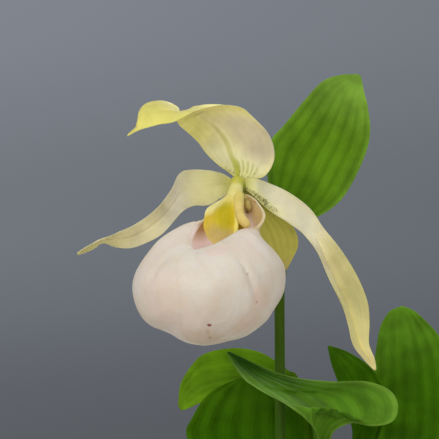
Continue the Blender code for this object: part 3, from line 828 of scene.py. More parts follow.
@dataclass(frozen=True)
class ClayFinish:
    """Fired red clay with wheel lines, a damp foot and a pale mineral bloom."""

    name: str = "fired_clay"
    body: Colour = srgb(176, 104, 70)
    dark: Colour = srgb(142, 80, 54)
    bloom: Colour = srgb(198, 152, 124)
    damp: tuple[float, float] = (0.012, 0.042)
    bloom_low: tuple[float, float] = (0.085, 0.1)
    bloom_high: tuple[float, float] = (0.104, 0.122)
    wheel: float = 2600.0

    def make(self) -> Material:
        """Build the material in the pot's own space."""
        material, tree, node = shader(self.name, Specular_IOR_Level=0.3)
        place = put(tree, "ShaderNodeTexCoord").outputs["Object"]
        tall = split(tree, place)[2]
        broad, fine = mottled(tree, 26.0, 700.0)
        stain, salts = mottled(tree, 60.0, 300.0, 2.5)
        colour = blend_colour(tree, spread(tree, broad, 0.35, 0.68, 0.0, 0.7), self.body, self.dark)
        band = calc(tree, "ADD", tall, calc(tree, "MULTIPLY", stain, 0.03))
        colour = blend_colour(tree, spread(tree, band, *self.damp, 0.75, 0.0), colour, self.dark)
        salt = spread(tree, band, *self.bloom_low, 0.0, 1.0)
        for part in (spread(tree, band, *self.bloom_high, 1.0, 0.0), spread(tree, salts, 0.42, 0.62, 0.0, 0.85)):
            salt = calc(tree, "MULTIPLY", salt, part)
        for amount in (salt, spread(tree, fine, 0.62, 0.7, 0.0, 0.5)):
            colour = blend_colour(tree, amount, colour, self.bloom)
        wander = calc(tree, "ADD", calc(tree, "MULTIPLY", tall, self.wheel), calc(tree, "MULTIPLY", broad, 9.0))
        height = calc(tree, "ADD", calc(tree, "MULTIPLY", calc(tree, "SINE", wander), 0.25), fine)
        coat(tree, node, colour, fine, (0.72, 0.92), height, 0.5, 0.0003)
        return material


@dataclass(frozen=True)
class CrumbFinish:
    """Loose crumbs whose colour goes by the mark "tone" of each crumb."""

    name: str
    stops: list[tuple[float, Colour]]
    roughness: float = 0.9
    from_noise: bool = False

    def make(self) -> Material:
        """Build the material."""
        material, tree, node = shader(self.name, Specular_IOR_Level=0.2)
        broad, fine = mottled(tree, 300.0, 1800.0)
        colour = ramp(tree, broad if self.from_noise else mark_value(tree, "tone"), self.stops)
        colour = blend_colour(tree, spread(tree, fine, 0.4, 0.7, 0.0, 0.5), colour, self.stops[0][1])
        coat(tree, node, colour, fine, (self.roughness - 0.1, self.roughness), fine, 0.8, 0.0008)
        return material


# ---- scattered growth and crumbs ----


class Crumb(Enum):
    """Shapes that are scattered over a surface."""

    GRAIN = "GeometryNodeMeshIcoSphere"
    HAIR = "GeometryNodeMeshCone"


@dataclass
class Scatter:
    """Geometry Nodes scatter of hairs or grains over a surface."""

    shape: Crumb
    label: str

    def tree(self) -> GeometryNodeTree:
        """Build the scatter's tree.

        Returns:
            A tree with inputs for its density, sizes, tilt, seed and finish.
        """
        tree = bpy.data.node_groups.new(self.label, "GeometryNodeTree")
        tree.interface.new_socket("Geometry", in_out="INPUT", socket_type="NodeSocketGeometry")
        for label in ("Density", "Length", "Width", "Least", "Most", "Tilt"):
            tree.interface.new_socket(label, in_out="INPUT", socket_type="NodeSocketFloat")
        tree.interface.new_socket("Seed", in_out="INPUT", socket_type="NodeSocketInt")
        tree.interface.new_socket("Finish", in_out="INPUT", socket_type="NodeSocketMaterial")
        tree.interface.new_socket("Geometry", in_out="OUTPUT", socket_type="NodeSocketGeometry")
        given = put(tree, "NodeGroupInput").outputs
        growth = put(tree, "GeometryNodeInputNamedAttribute", {"Name": "growth"}, data_type="FLOAT")
        density = calc(tree, "MULTIPLY", given["Density"], growth.outputs["Attribute"])
        points = put(
            tree, "GeometryNodeDistributePointsOnFaces",
            {"Mesh": given["Geometry"], "Density": density, "Seed": given["Seed"]}, distribute_method="RANDOM")
        tilt = calc(tree, "MULTIPLY", given["Tilt"], -1.0)
        low = put(tree, "ShaderNodeCombineXYZ", {0: tilt, 1: tilt, 2: -3.14})
        high = put(tree, "ShaderNodeCombineXYZ", {0: given["Tilt"], 1: given["Tilt"], 2: 3.14})
        seed = {"Seed": given["Seed"]}
        lean = put(
            tree, "FunctionNodeRandomValue", {0: low.outputs[0], 1: high.outputs[0], **seed},
            data_type="FLOAT_VECTOR")
        turn = put(
            tree, "FunctionNodeRotateRotation", {0: points.outputs["Rotation"], 1: lean.outputs["Value"]},
            rotation_space="LOCAL")
        size = put(tree, "FunctionNodeRandomValue", {2: given["Least"], 3: given["Most"], **seed}, data_type="FLOAT")
        placed = put(
            tree, "GeometryNodeInstanceOnPoints",
            {"Points": points.outputs["Points"], "Instance": self._crumb(tree, given), "Rotation": turn.outputs[0],
             "Scale": size.outputs[1]})
        tone = put(tree, "FunctionNodeRandomValue", {2: 0.0, 3: 1.0, "Seed": 7}, data_type="FLOAT")
        marked = put(
            tree, "GeometryNodeStoreNamedAttribute",
            {"Geometry": placed.outputs[0], "Name": "tone", "Value": tone.outputs[1]},
            data_type="FLOAT", domain="INSTANCE")
        real = put(tree, "GeometryNodeRealizeInstances", {"Geometry": marked.outputs[0]})
        dressed = put(tree, "GeometryNodeSetMaterial", {"Geometry": real.outputs[0], "Material": given["Finish"]})
        put(tree, "NodeGroupOutput", {0: dressed.outputs[0]})
        return tree

    def _crumb(self, tree: GeometryNodeTree, given: bpy.types.NodeOutputs) -> NodeSocket:
        """One grain or hair, sized by the tree's inputs."""
        if self.shape is Crumb.HAIR:
            cone = put(
                tree, self.shape.value,
                {"Vertices": 4, "Radius Top": 0.00001, "Radius Bottom": given["Width"], "Depth": given["Length"]})
            return cone.outputs["Mesh"]
        ball = put(tree, self.shape.value, {"Radius": given["Width"], "Subdivisions": 2})
        place = put(tree, "GeometryNodeInputPosition")
        noise = put(tree, "ShaderNodeTexNoise", {"Vector": place.outputs[0], "Scale": 900.0, "Detail": 1.0})
        push = vector_calc(tree, "SUBTRACT", noise.outputs[1], (0.5, 0.5, 0.5))
        sized = put(tree, "ShaderNodeVectorMath", {0: push.outputs[0], "Scale": given["Width"]}, operation="SCALE")
        bent = put(tree, "GeometryNodeSetPosition", {"Geometry": ball.outputs["Mesh"], "Offset": sized.outputs[0]})
        squashed = put(tree, "GeometryNodeTransform", {"Geometry": bent.outputs[0], "Scale": (1.0, 0.75, 0.6)})
        return squashed.outputs[0]

    def spread_on(self, name: str, base: Object, sizes: dict[str, object], slot: str) -> Object:
        """Scatter over a piece and keep the result as one plain mesh.

        Args:
            name: Name of the new piece.
            base: Piece whose surface carries the crumbs, with the mark "growth".
            sizes: Values for the tree's inputs, by name.
            slot: Material slot of the record.

        Returns:
            The new piece, settled on the frame.
        """
        tree = self.tree()
        work = add_object(name + "_ground", base.data.copy())
        modifier = work.modifiers.new("scatter", "NODES")
        modifier.node_group = tree
        for item in tree.interface.items_tree:
            if item.item_type == "SOCKET" and item.in_out == "INPUT" and item.name in sizes:
                modifier[item.identifier] = sizes[item.name]
        bpy.context.view_layer.update()
        graph = bpy.context.evaluated_depsgraph_get()
        mesh = bpy.data.meshes.new_from_object(work.evaluated_get(graph), depsgraph=graph)
        work.modifiers.remove(modifier)
        bpy.data.objects.remove(work, do_unlink=True)
        if not mesh.materials:
            mesh.materials.append(sizes["Finish"])
        piece = add_object(name, mesh)
        settle(piece, slot)
        return piece


# ---- petals, sepals and leaves ----


class Tissue(Enum):
    """Kinds of blade, with the thickness in millimetres of each."""

    PETAL = 0.45
    LEAF = 0.5
    SHEATH = 0.4
    SHIELD = 0.7


@dataclass
class Blade:
    """Petal, sepal, bract, leaf or sheath between two edges."""

    node: str
    slot: str
    ribs: list[Rib]
    finish: Material
    tissue: Tissue = Tissue.PETAL
    along: int = 110
    across: int = 36
    pleats: int = 0
    pleat_depth: float = 0.0
    keel: float = 0.0
    keel_at: float = 0.5
    keel_width: float = 0.05
    keel_from: float = 0.0
    wave_depth: float = 0.0
    wave_count: float = 3.0
    phase: float = 0.0
    clear: list[tuple[Point, Point, float]] = field(default_factory=list)
    hair_reach: float = 0.0
    hair_side: bool = False
    foot_fade: float = 0.15
    tip_fade: float = 0.12

    def surface(self) -> np.ndarray:
        """Grid of the blade with its folds and waves, in millimetres."""
        grid = sheet_middle(self.ribs, self.along, self.across)
        for start, end, radius in self.clear:
            grid = clear_of(grid, start, end, radius)
        u, v = np.meshgrid(np.linspace(0, 1, self.across), np.linspace(0, 1, self.along))
        ends = np.clip(v / self.foot_fade, 0, 1) * np.clip((1 - v) / self.tip_fade, 0, 1)
        edge = np.abs(2 * u - 1)
        lift = self.pleat_depth * np.cos(2 * math.pi * self.pleats * (u - self.keel_at)) * ends * (1 - edge**8)
        begun = np.clip((v - self.keel_from) / self.foot_fade, 0, 1) if self.keel_from else 1.0
        lift -= self.keel * np.exp(-(((u - self.keel_at) / self.keel_width) ** 2)) * ends * begun
        side = np.where(u > 0.5, 1.7, 0.0)
        lift += self.wave_depth * edge**2.2 * np.sin(2 * math.pi * self.wave_count * v + side + self.phase) * ends
        lift += 0.4 * self.wave_depth * np.sin(5.3 * v + 3.1 * u + self.phase) * np.sin(7.9 * v - 2.3 * u) * ends
        return grid + grid_normals(grid) * lift[..., None]

    def make(self) -> Object:
        """Build, dress and settle the blade.

        Returns:
            The finished piece.
        """
        grid = self.surface()
        rows, cols = grid.shape[:2]
        v = np.linspace(0, 1, rows)[:, None] * np.ones((1, cols))
        growth = np.clip(1 - v / max(self.hair_reach, 1e-6), 0, 1) if self.hair_reach else np.zeros((rows, cols))
        if self.hair_side:
            growth = np.clip(growth * 2, 0, 1) * np.clip((np.linspace(0, 1, cols)[None, :] - 0.7) / 0.2, 0, 1)
        piece = sheet_piece(self.node + "_skin", grid, self.tissue.value, growth)
        return dress(piece, self.finish, self.slot, self.node)


@dataclass
class Flower:
    """Sepals and petals round the flower's centre."""

    room: float = 1.9

    def blades(self) -> list[Blade]:
        """The four free sepals and petals, from the top round to the right."""
        hub = (HUB, HUB, self.room)
        cream, lemon = srgb(226, 218, 182), srgb(228, 216, 140)
        dorsal = BladeFinish(
            "dorsal_sepal_skin", stops((0.0, 214, 212, 110), (0.1, 246, 240, 190), (0.3, 254, 242, 184),
                                       (0.52, 254, 240, 158), (0.75, 230, 218, 124), (1.0, 232, 220, 118)),
            srgb(248, 234, 140), 0.6, srgb(206, 194, 116), 9, 0.12, srgb(234, 224, 116), 0.75, vein_bump=0.09,
            glow=0.25,
            # The second patch is painted light: a paler strip near the left edge that lifts its shaded side.
            patches=on_blade((218, 204, 172, 0.82, 0.26, 0.4, 0.2, 0.85),
                             (255, 246, 148, 0.08, 0.38, 0.4, 0.24, 0.9),
                             (190, 196, 50, 0.42, 0.03, 0.1, 0.16, 0.9),
                             (206, 204, 110, 0.4, 0.18, 0.05, 0.22, 0.6),
                             *((176, 180, 52, across, up, 0.034, reach, 0.45)
                       for across, up, reach in ((0.48, 0.08, 0.05), (0.56, 0.09, 0.06), (0.64, 0.09, 0.055),
                                                 (0.72, 0.085, 0.045), (0.8, 0.08, 0.035)))))
        left = BladeFinish(
            "left_petal_skin", stops((0.0, 206, 204, 96), (0.12, 224, 218, 154), (0.35, 206, 198, 174),
                                     (0.6, 224, 214, 170), (1.0, 220, 212, 142)),
            cream, 0.5, srgb(198, 190, 132), 8, 0.1, srgb(226, 216, 160), 0.6, vein_bump=0.07, glow=0.25)
        right = BladeFinish(
            "right_petal_skin", stops((0.0, 206, 204, 96), (0.08, 246, 240, 170), (0.3, 242, 234, 202),
                                      (0.5, 230, 218, 176), (0.7, 224, 214, 144), (1.0, 236, 220, 142)),
            lemon, 0.45, srgb(196, 186, 118), 8, 0.1, srgb(226, 214, 150), 0.6, vein_bump=0.08, glow=0.25,
            # The first and last patches are painted shade: darker yellow along the fold and on the strip turned back
            # beyond it.
            patches=on_blade((222, 208, 134, 0.36, 0.6, 0.3, 0.24, 0.5),
                             (240, 230, 204, 0.3, 0.16, 0.5, 0.12, 0.7),
                             (206, 198, 120, 0.9, 0.1, 0.3, 0.12, 0.6),
                             (200, 190, 122, 0.16, 0.58, 0.3, 0.18, 0.7)))
        olive = BladeFinish(
            "lower_sepal_skin", stops((0.0, 196, 200, 84), (0.4, 216, 212, 96), (0.8, 214, 206, 96),
                                      (1.0, 206, 188, 110)),
            srgb(214, 206, 110), 0.5, srgb(168, 162, 60), 7, 0.22, srgb(170, 160, 70), 0.5, glow=0.2)
        top_rows = [
            (235.6, 180.2, -6.6, 239.6, 179.8, -6.6, 50), (234.2, 177, -6, 243, 178.3, -5, 50),
            (229, 172.5, -5, 250, 178.6, -4, 50), (218, 165, -4, 263, 177.2, -4, 45),
            (206, 153.5, -6, 272, 166, -3.5, 42), (198, 142.5, -8, 274.5, 151, -2, 40),
            (187.5, 132.5, -14, 268, 133, -2, 40), (180, 126, -20, 251, 115, -5.5, 50),
            (178, 123.5, -21, 240.5, 107.2, -9, 55), (176, 121, -22, 222, 105.6, -14, 60),
            (176, 117, -22, 196, 111.5, -28, 50), (178, 108.4, -22, 174.5, 121.7, -33, 35),
            (163, 101.3, -24, 160, 124, -35, 35), (146, 103.5, -27, 149, 127, -34, 35),
            (138.2, 113, -30, 141, 129.5, -34, 30), (139, 123, -31.5, 134.5, 132.5, -34, 20),
            (128.5, 134, -33, 127.5, 136.3, -33.6, 10)]
        left_rows = [
            (236.2, 184.6, -6.9, 236.2, 181.6, -6.9, 30), (232.5, 188, -6.6, 233, 180.2, -6.0, 30),
            (226, 195, -6, 222, 173.5, -4.5, 30), (209, 204.5, -4, 205, 170, 0, 30),
            (195, 205.5, -6, 189, 170.3, 2, 25), (184, 211, -10, 178.5, 174.5, 0, 20),
            (172, 223.5, -14, 172, 189.5, -6, 25), (157, 237.5, -18, 157, 207.3, -14, 35),
            (135, 247.5, -22, 134, 225.5, -22, 40), (116, 247.5, -24, 117, 233.5, -28, 40),
            (103, 243.7, -27, 101, 239, -32, 30), (92, 249.5, -30, 90, 244.5, -34, 20),
            (78, 255.2, -34, 77.2, 253, -35, 5)]
        right_rows = [
            (238.6, 181.0, -7.0, 238.8, 185, -7.0, 30), (245, 178.8, -6.6, 244, 188.5, -7.2, 30),
            (256, 178.6, -7.0, 254, 196.4, -8.6, 30), (275, 185.5, -2, 270, 212, -8, 30),
            (293, 195, -4, 288, 222.5, -10, 40), (310, 208.5, -8, 302, 232, -14, 50),
            (323, 227, -12, 313, 247.5, -20, 70), (340, 249, -14, 324, 266, -26, 80),
            (357, 275, -16, 335, 289, -30, 80), (367, 300, -18, 343, 308.5, -32, 70),
            (369, 322, -20, 349.5, 328, -32, 60), (369, 343, -24, 354.5, 346, -32, 40),
            (374.5, 358, -28, 364, 360, -32, 20), (376.3, 369, -32, 374.5, 370.5, -32.6, 5)]
        low_rows = [
            (243, 189.5, -7.0, 238, 190, -7.1, 40), (266, 205, -4, 241, 205, -5, 40),
            (284, 218, -2, 243, 222, -4, 35), (296, 232, 0, 247, 240, -2.6, 30),
            (298, 246, 1, 253, 256, -1.5, 25), (293, 258, 1.5, 264, 266, -0.6, 20),
            (287, 269.5, 1, 284.5, 270.5, 0.6, 5)]
        shift = FLOWER_DEPTH
        return [
            Blade("dorsal_sepal", "petal_cream", ribs(top_rows, shift), dorsal.make(), along=150, across=44,
                  keel=0.25,
                  wave_depth=0.25, wave_count=2.3, phase=0.6, clear=[hub], hair_reach=0.09),
            Blade("petal_left", "petal_cream", ribs(left_rows, shift), left.make(), along=140, across=36, keel=0.3,
                  wave_depth=0.35, wave_count=3.2, phase=1.1, clear=[hub], hair_reach=0.12),
            Blade("petal_right", "petal_cream", ribs(right_rows, shift), right.make(), along=150, across=44, keel=1.3,
                  keel_at=0.46, keel_width=0.07, keel_from=0.4, wave_depth=0.35, wave_count=3.6, phase=2.4,
                  clear=[hub], hair_reach=0.2, hair_side=True),
            Blade("synsepal", "sepal_olive", ribs(low_rows, shift), olive.make(), along=80, across=36, keel=0.4,
                  wave_depth=0.2, clear=[hub], hair_reach=0.3),
        ]


@dataclass
class Foliage:
    """Bract, leaves and sheaths of the two shoots."""

    stem_room: float = 2.95
    shoot_room: float = 2.7

    def _finish(
        self, name: str, dark: Colour, mid: Colour, light: Colour, count: float, share: float,
        rim: Colour | None = None
    ) -> Material:
        """Leaf skin between a dark base and a tip colour, which is light on every leaf but the front one."""
        return BladeFinish(
            name, [(0.0, dark), (0.36, mid), (0.65, mid), (1.0, light)], rim or light, 0.6 if rim else 0.5, dark,
            count, share,
            light, 0.45, vein_width=0.34, wander=0.05, vein_bump=0.4, fine_bump=0.12, roughness=0.6, gloss=0.03,
            glow=0.08, mottle_share=0.3).make()

    def leaves(self) -> list[Blade]:
        """The bract and the five leaves, from the top down."""
        stem = [((0, 0, 90), STEM_TOP, self.stem_room)]
        shoot = [((*shoot_at(97)[:2], 97), SHOOT_TOP, self.shoot_room)]
        bract_skin = self._finish("bract_skin", srgb(60, 98, 2), srgb(98, 142, 24), srgb(130, 172, 62), 7, 0.42)
        # The front leaf's pale rim colour is a painted highlight along its margins, and its tip colour is darker than
        # its middle.
        front_skin = self._finish(
            "front_leaf_skin", srgb(60, 104, 12), srgb(98, 148, 32), srgb(38, 80, 16), 7, 0.42, srgb(136, 178, 68))
        deep_skin = self._finish("deep_leaf_skin", srgb(36, 76, 0), srgb(58, 106, 0), srgb(70, 116, 10), 6, 0.35)
        arch_skin = self._finish("arching_leaf_skin", srgb(66, 106, 4), srgb(92, 138, 12), srgb(112, 156, 24), 6, 0.4)
        side_skin = self._finish("side_leaf_skin", srgb(46, 88, 0), srgb(70, 120, 8), srgb(104, 154, 36), 6, 0.35)
        neck = (-0.45, 0.0, 243.0)
        bract = [clasp(neck, 2.15, 60, 200, 232), clasp(neck, 2.25, 60, 190, 240)] + ribs([
            (272, 215, 3, 296, 222, 2, 120), (268, 190, 6, 318, 217, 4, 80), (267, 165, 10, 340, 200, 7, 60),
            (271, 141, 13, 357, 174, 10, 50), (284, 125, 15, 367, 150, 12, 40), (302, 103, 16, 370, 130, 14, 35),
            (322, 82, 17, 368, 108, 16, 30), (340, 75, 18, 364, 91, 18, 25), (358, 74, 20, 361, 76.5, 20, 5)])
        front = [clasp(shoot_at(113), 3.2, 195, 290, 113.2), clasp(shoot_at(119), 3.2, 195, 260, 119),
                 (20.5, 13, 138, 24, 22, 138, 170), (15.5, -2, 157, 20, 8, 157, 130)] + ribs([
            (318, 439, -20, 331, 439, -8, 100), (307, 421, -27, 349, 424, -6, 60),
            (294, 410, -32, 372, 426.5, -8, 45), (281, 401, -34, 393, 421, -4, 40),
            (268, 394, -34, 398, 405, 2, 40), (255, 386, -33, 389, 390, 5, 40),
            (245, 379, -32, 365, 381.5, 3, 40), (237, 370, -30, 330, 382, -3, 35),
            (231, 362, -28, 285, 375.5, -9, 25), (226.5, 353, -26, 229, 351.5, -25, 5)])
        behind = [clasp(STEM_TOP, 3.2, 115, 290, 127.5), clasp(STEM_TOP, 3.3, 115, 260, 136)] + ribs([
            (262, 520, 9, 303, 520, 7.5, 60), (215, 488, 13, 305, 488, 9, 50), (187, 439, 15, 308, 439, 10, 40),
            (193, 416, 15, 305, 414, 10, 35), (211, 392, 14, 292, 394, 10, 30), (243, 376, 12, 246, 376.5, 12, 5)])
        back = [clasp(STEM_TOP, 3.3, 80, 290, 112.5), clasp(STEM_TOP, 3.4, 80, 260, 121)] + ribs([
            (262, 535, 10, 312, 535, 8, 90), (259, 490, 17, 322, 490, 14, 60), (268, 440, 20, 320, 430, 17, 45),
            (285, 410, 17, 299, 379, 20, 20), (272, 402, 17, 288, 370, 24, 20),
            (258, 398, 17, 274, 359.5, 27, 20), (243, 396, 17, 260, 352, 30, 20),
            (228, 396, 17, 245, 348.7, 32, 20), (216, 398, 17, 231, 348.4, 33, 25),
            (206, 401, 18, 213, 351.4, 33, 25), (198, 404, 18, 199, 357.6, 32, 25),
            (192, 407, 19, 187, 372, 29, 25), (187, 409, 20, 180, 386, 26, 20),
            (181.5, 410.5, 22, 178, 406, 23, 5)])
        tip = [clasp(shoot_at(150), 2.9, 60, 280, 147.5), clasp(shoot_at(158), 3.0, 60, 250, 157)] + ribs([
            (352, 437, 24, 380, 434, 28, 110), (350, 420, 22, 386, 415, 27, 70), (343, 400, 20, 386, 393, 26, 50),
            (336, 378, 19, 372, 369, 24, 40), (331, 361, 19, 350, 353, 22, 30),
            (327.5, 346.5, 20, 329.5, 345.5, 20.5, 5)])
        side = [clasp(shoot_at(133), 3.0, 40, 290, 131.5), clasp(shoot_at(140), 3.1, 40, 260, 139)] + ribs([
            (355, 484, 35.5, 386, 488, 26, 100), (360, 455, 38, 425, 470, 30, 60),
            (363, 439, 40, 452, 439, 36, 40), (367, 410, 41, 455, 400, 39, 35), (372, 380, 42, 450, 360, 41, 30),
            (377, 345, 42, 439, 336, 43, 30), (381, 325.6, 42, 427, 322, 43, 25),
            (389.5, 311.4, 42, 414.5, 311, 42, 15), (401, 306.3, 42, 404, 306.3, 42, 5)])
        leaf = Tissue.LEAF
        return [
            Blade("bract", "leaf_green", bract, bract_skin, leaf, 130, 60, 7, 0.12, 0.35, wave_depth=0.3,
                  phase=0.4, hair_reach=0.12),
            Blade("leaf_front", "leaf_green", front, front_skin, leaf, 170, 56, 6, 0.3, 0.5, keel_at=0.3,
                  wave_depth=0.35, wave_count=2.2, phase=1.0, clear=stem + shoot),
            Blade("leaf_behind", "leaf_deep", behind, deep_skin, leaf, 120, 52, 6, 0.4, 0.5, wave_depth=0.3,
                  clear=stem),
            Blade("leaf_back", "leaf_bright", back, arch_skin, leaf, 170, 52, 5, 0.4, 0.5, wave_depth=0.3,
                  phase=2.0, clear=stem),
            Blade("shoot_leaf_tip", "leaf_deep", tip, deep_skin, leaf, 110, 44, 4, 0.35, 0.5, wave_depth=0.25,
                  clear=shoot),
            Blade("shoot_leaf_right", "leaf_green", side, side_skin, leaf, 130, 52, 6, 0.4, 0.5, wave_depth=0.3,
                  phase=0.8, clear=shoot),
        ]

    def sheaths(self) -> list[Blade]:
        """The three short sheaths at the feet of the shoots."""
        dry = BladeFinish(
            "dry_sheath_skin", stops((0.0, 128, 104, 62), (0.6, 150, 130, 80), (1.0, 112, 84, 50)),
            srgb(100, 74, 44), 0.6, srgb(96, 72, 42), 14, 0.6, srgb(160, 142, 96), 0.4, roughness=0.75,
            glow=0.0).make()
        green = BladeFinish(
            "green_sheath_skin", stops((0.0, 136, 128, 74), (0.6, 118, 136, 60), (1.0, 138, 132, 70)),
            srgb(150, 130, 76), 0.6, srgb(92, 104, 44), 12, 0.5, srgb(140, 146, 84), 0.4, roughness=0.6,
            glow=0.0).make()
        parts = [("sheath_lower", "dry_sheath", STEM_TOP, 4.85, 200, 97.4, 107.5, dry),
                 ("sheath_upper", "green_sheath", STEM_TOP, 3.35, 20, 97.7, 111.2, green),
                 ("shoot_sheath", "dry_sheath", shoot_at(104), 3.35, 240, 97.4, 111.5, dry)]
        return [
            Blade(node, slot, collar(centre, radius, facing, low, high), skin, Tissue.SHEATH, 50, 60, 12, 0.05)
            for node, slot, centre, radius, facing, low, high, skin in parts
        ]


# ---- pouch ----


@dataclass
class Pouch:
    """Inflated lip with its mouth rolled in and a claw at the back."""

    centre: Point = (-24.8, -40.0, 230.4)
    turn: float = FLOWER_TURN
    front: float = 27.0
    side: float = 24.3
    below: float = 19.4
    above: float = 21.0
    dip: float = 8.0
    wall: float = 0.7
    sides: int = 168
    rows: int = 74
    veins: int = 14
    inside_from: float = 0.955
    claw_from: float = 0.83
    rim_from: float = 0.9
    lump_middle: tuple[float, float] = (209, 285)
    lump_clear: float = 38.0
    lump_fade: float = 24.0
    creases: tuple[tuple[tuple[tuple[float, float], ...], float, float], ...] = (
        (((236, 256), (243, 266), (248, 276), (253, 288), (256, 302)), 0.8, 2.6),
        (((243, 268), (247, 274)), 0.5, 1.4),
        (((270, 296), (276, 303), (283, 300)), 0.5, 3.5),
        (((262, 306), (268, 312), (274, 310)), 0.45, 3.0),
        (((168, 257), (160, 264), (154, 273), (151, 282)), 0.45, 2.6),
        (((217, 269), (208, 278), (201, 290)), 0.16, 3.0),
        (((205, 318), (208, 328), (211, 342)), 0.3, 2.0),
        (((150, 322), (160, 327), (172, 334)), 0.4, 3.0),
        (((222, 262), (228, 276), (231, 292)), 0.12, 5.0),
    )

    lumps: tuple[Point, ...] = (
        (72, -0.9, 13), (129, -1.25, 12), (152, 0.35, 9), (30, 0.35, 8), (204, -0.8, 16), (0, -0.35, 10),
        (-13, 0.35, 8))

    def mouth(self) -> tuple[list[float], list[Point]]:
        """Angles from the front and points of the mouth's edge, as forward, sideways and up."""
        turns = [0, 14, 30, 60, 90, 120, 142, 158, 170, 180, 190, 202, 218, 240, 270, 300, 330, 346]
        edge = [(8.4, 0, 11.2), (7.8, 2.2, 12.0), (6.5, 4.6, 13.0), (2.5, 8, 15.5), (-4, 9.6, 17.8),
                (-12, 11.2, 18.6),
                (-17.2, 12, 22), (-19.9, 8.4, 26.6), (-21.2, 4.3, 29.0), (-21.75, 0, 29.2), (-21.2, -3.9, 28.2),
                (-19.9, -7.3, 24.9), (-17.2, -8.9, 22.0), (-12, -9.8, 20.6), (-4, -8.2, 20), (3.4, -6.6, 16),
                (7.4, -3.2, 12.6), (8.2, -1.5, 11.6)]
        return turns, edge

    def _section(self, angle: float) -> np.ndarray:
        """Points up one side of the pouch at an angle in degrees, as forward, sideways and up."""
        a = math.radians(angle)
        c, s = math.cos(a), math.sin(a)
        above = self.above - self.dip * max(0.0, c) ** 1.5
        shell = [np.array([0.0, 0.0, -self.below])]
        for tilt in (14, 32, 50, 68, 86, 102, 118, 136):
            t = math.radians(tilt)
            low = max(0.0, math.cos(t))
            rise = -self.below * low if tilt < 90 else -above * math.cos(t)
            girth = math.sin(t) * (1 - 0.04 * low - 0.33 * low * max(0.0, -c))
            girth *= 1 + 0.03 * (0.42 * c - 0.91 * s) * math.sin(math.pi * low)
            shell.append(np.array([self.front * girth * c, self.side * girth * s, rise]))
        turns, edge = self.mouth()
        spot = float(np.interp(angle % 360, turns + [360], range(len(edge) + 1)))
        lip = smooth(np.array(edge[-2:] + edge + edge[:3]), np.array([spot + 2]))[0]
        rear = max(0.0, -c) ** 1.5
        shell[-1] = shell[-1] * (1 - rear) + (shell[-2] * 0.45 + lip * 0.55) * rear
        flap = math.exp(-(((angle % 360 - 144) / 17) ** 2))
        shell[-1] = shell[-1] + np.array([0.0, -1.9, -2.6]) * flap
        curl = lip + np.array([-c * 1.6, -s * 1.6, -2.2]) * (1 - rear) + np.array([0, 0, 0.8]) * rear
        crest = lip + np.array([-c * 0.5, -s * 0.5, 0.3]) * (1 - rear) - np.array([0, 0, 0.4]) * rear
        near = shell[-1] * 0.35 + lip * 0.65 + np.array([c * 0.5, s * 0.5, 0.6]) * (1 - rear)
        near = near + np.array([0.0, -2.2, -2.2]) * flap
        return np.array(shell + [near, lip, crest * 0.5 + (lip + curl) * 0.25, curl])

    def grid(self) -> np.ndarray:
        """Grid of the pouch's wall, round by up, in millimetres."""
        ahead, side = level_axes(self.turn)
        rows = []
        for k in range(self.sides):
            keys = self._section(360 * k / self.sides)
            line = smooth(keys, even(keys, self.rows))
            rows.append(np.array(self.centre) + line[:, :1] * ahead + line[:, 1:2] * side + line[:, 2:] * [0, 0, 1.0])
        return np.array(rows)

    def _normals(self, grid: np.ndarray) -> np.ndarray:
        """Outward normals of the grid."""
        ring = np.concatenate([grid[-1:], grid, grid[:1]])
        normal = unit(np.cross(ring[2:] - ring[:-2], np.gradient(grid, axis=1)))
        middle = np.array(self.centre) - np.array([0, 0, 4.0])
        return -normal if np.sum((grid[:, 20] - middle) * normal[:, 20]) < 0 else normal

    def relief(self, grid: np.ndarray, normal: np.ndarray) -> np.ndarray:
        """Grid with creases and soft lumps pressed into it."""
        seen = seen_at(grid)
        facing = np.clip(-normal[..., 1] * 2.0, 0, 1)
        lift = np.zeros(grid.shape[:2])
        for line, depth, width in self.creases:
            far = np.full(grid.shape[:2], 1e9)
            share = np.zeros(grid.shape[:2])
            for n, (a, b) in enumerate(zip(line, line[1:])):
                a, b = np.array(a, float), np.array(b, float)
                t = np.clip(((seen - a) @ (b - a)) / float((b - a) @ (b - a)), 0, 1)
                gap = np.linalg.norm(seen - (a + t[..., None] * (b - a)), axis=-1)
                share = np.where(gap < far, (n + t) / (len(line) - 1), share)
                far = np.minimum(far, gap)
            fade = np.sin(np.pi * np.clip(share, 0.02, 0.98)) ** 0.5
            lift -= depth * np.exp(-((far / width) ** 2)) * facing * fade
            lift += 0.5 * depth * np.exp(-(((far - 2.2 * width) / (1.3 * width)) ** 2)) * facing * fade
        away = seen - self.lump_middle
        rim = np.clip((np.linalg.norm(away, axis=-1) - self.lump_clear) / self.lump_fade, 0, 1)
        for angle, depth, width in self.lumps:
            off = (np.degrees(np.arctan2(away[..., 1], away[..., 0])) - angle + 180) % 360 - 180
            lift += depth * np.exp(-((off / width) ** 2)) * rim
        turn = np.linspace(0, 2 * math.pi, self.sides, endpoint=False)[:, None]
        up = np.linspace(0, 1, self.rows)[None, :]
        belly = 0.85 * np.clip(up / 0.15, 0, 1) * np.clip((0.8 - up) / 0.2, 0, 1)
        broad = 0.22 * np.sin(5 * turn + 1.0) * np.sin(9 * up)
        lift += belly * (broad + 0.14 * np.sin(9 * turn + 6 * up) * np.sin(14 * up + 1))
        lift += belly * 0.07 * np.sin(23 * turn + 5 * np.sin(9 * up)) * np.clip(np.sin(7 * up), 0, 1)
        return grid + normal * lift[..., None]

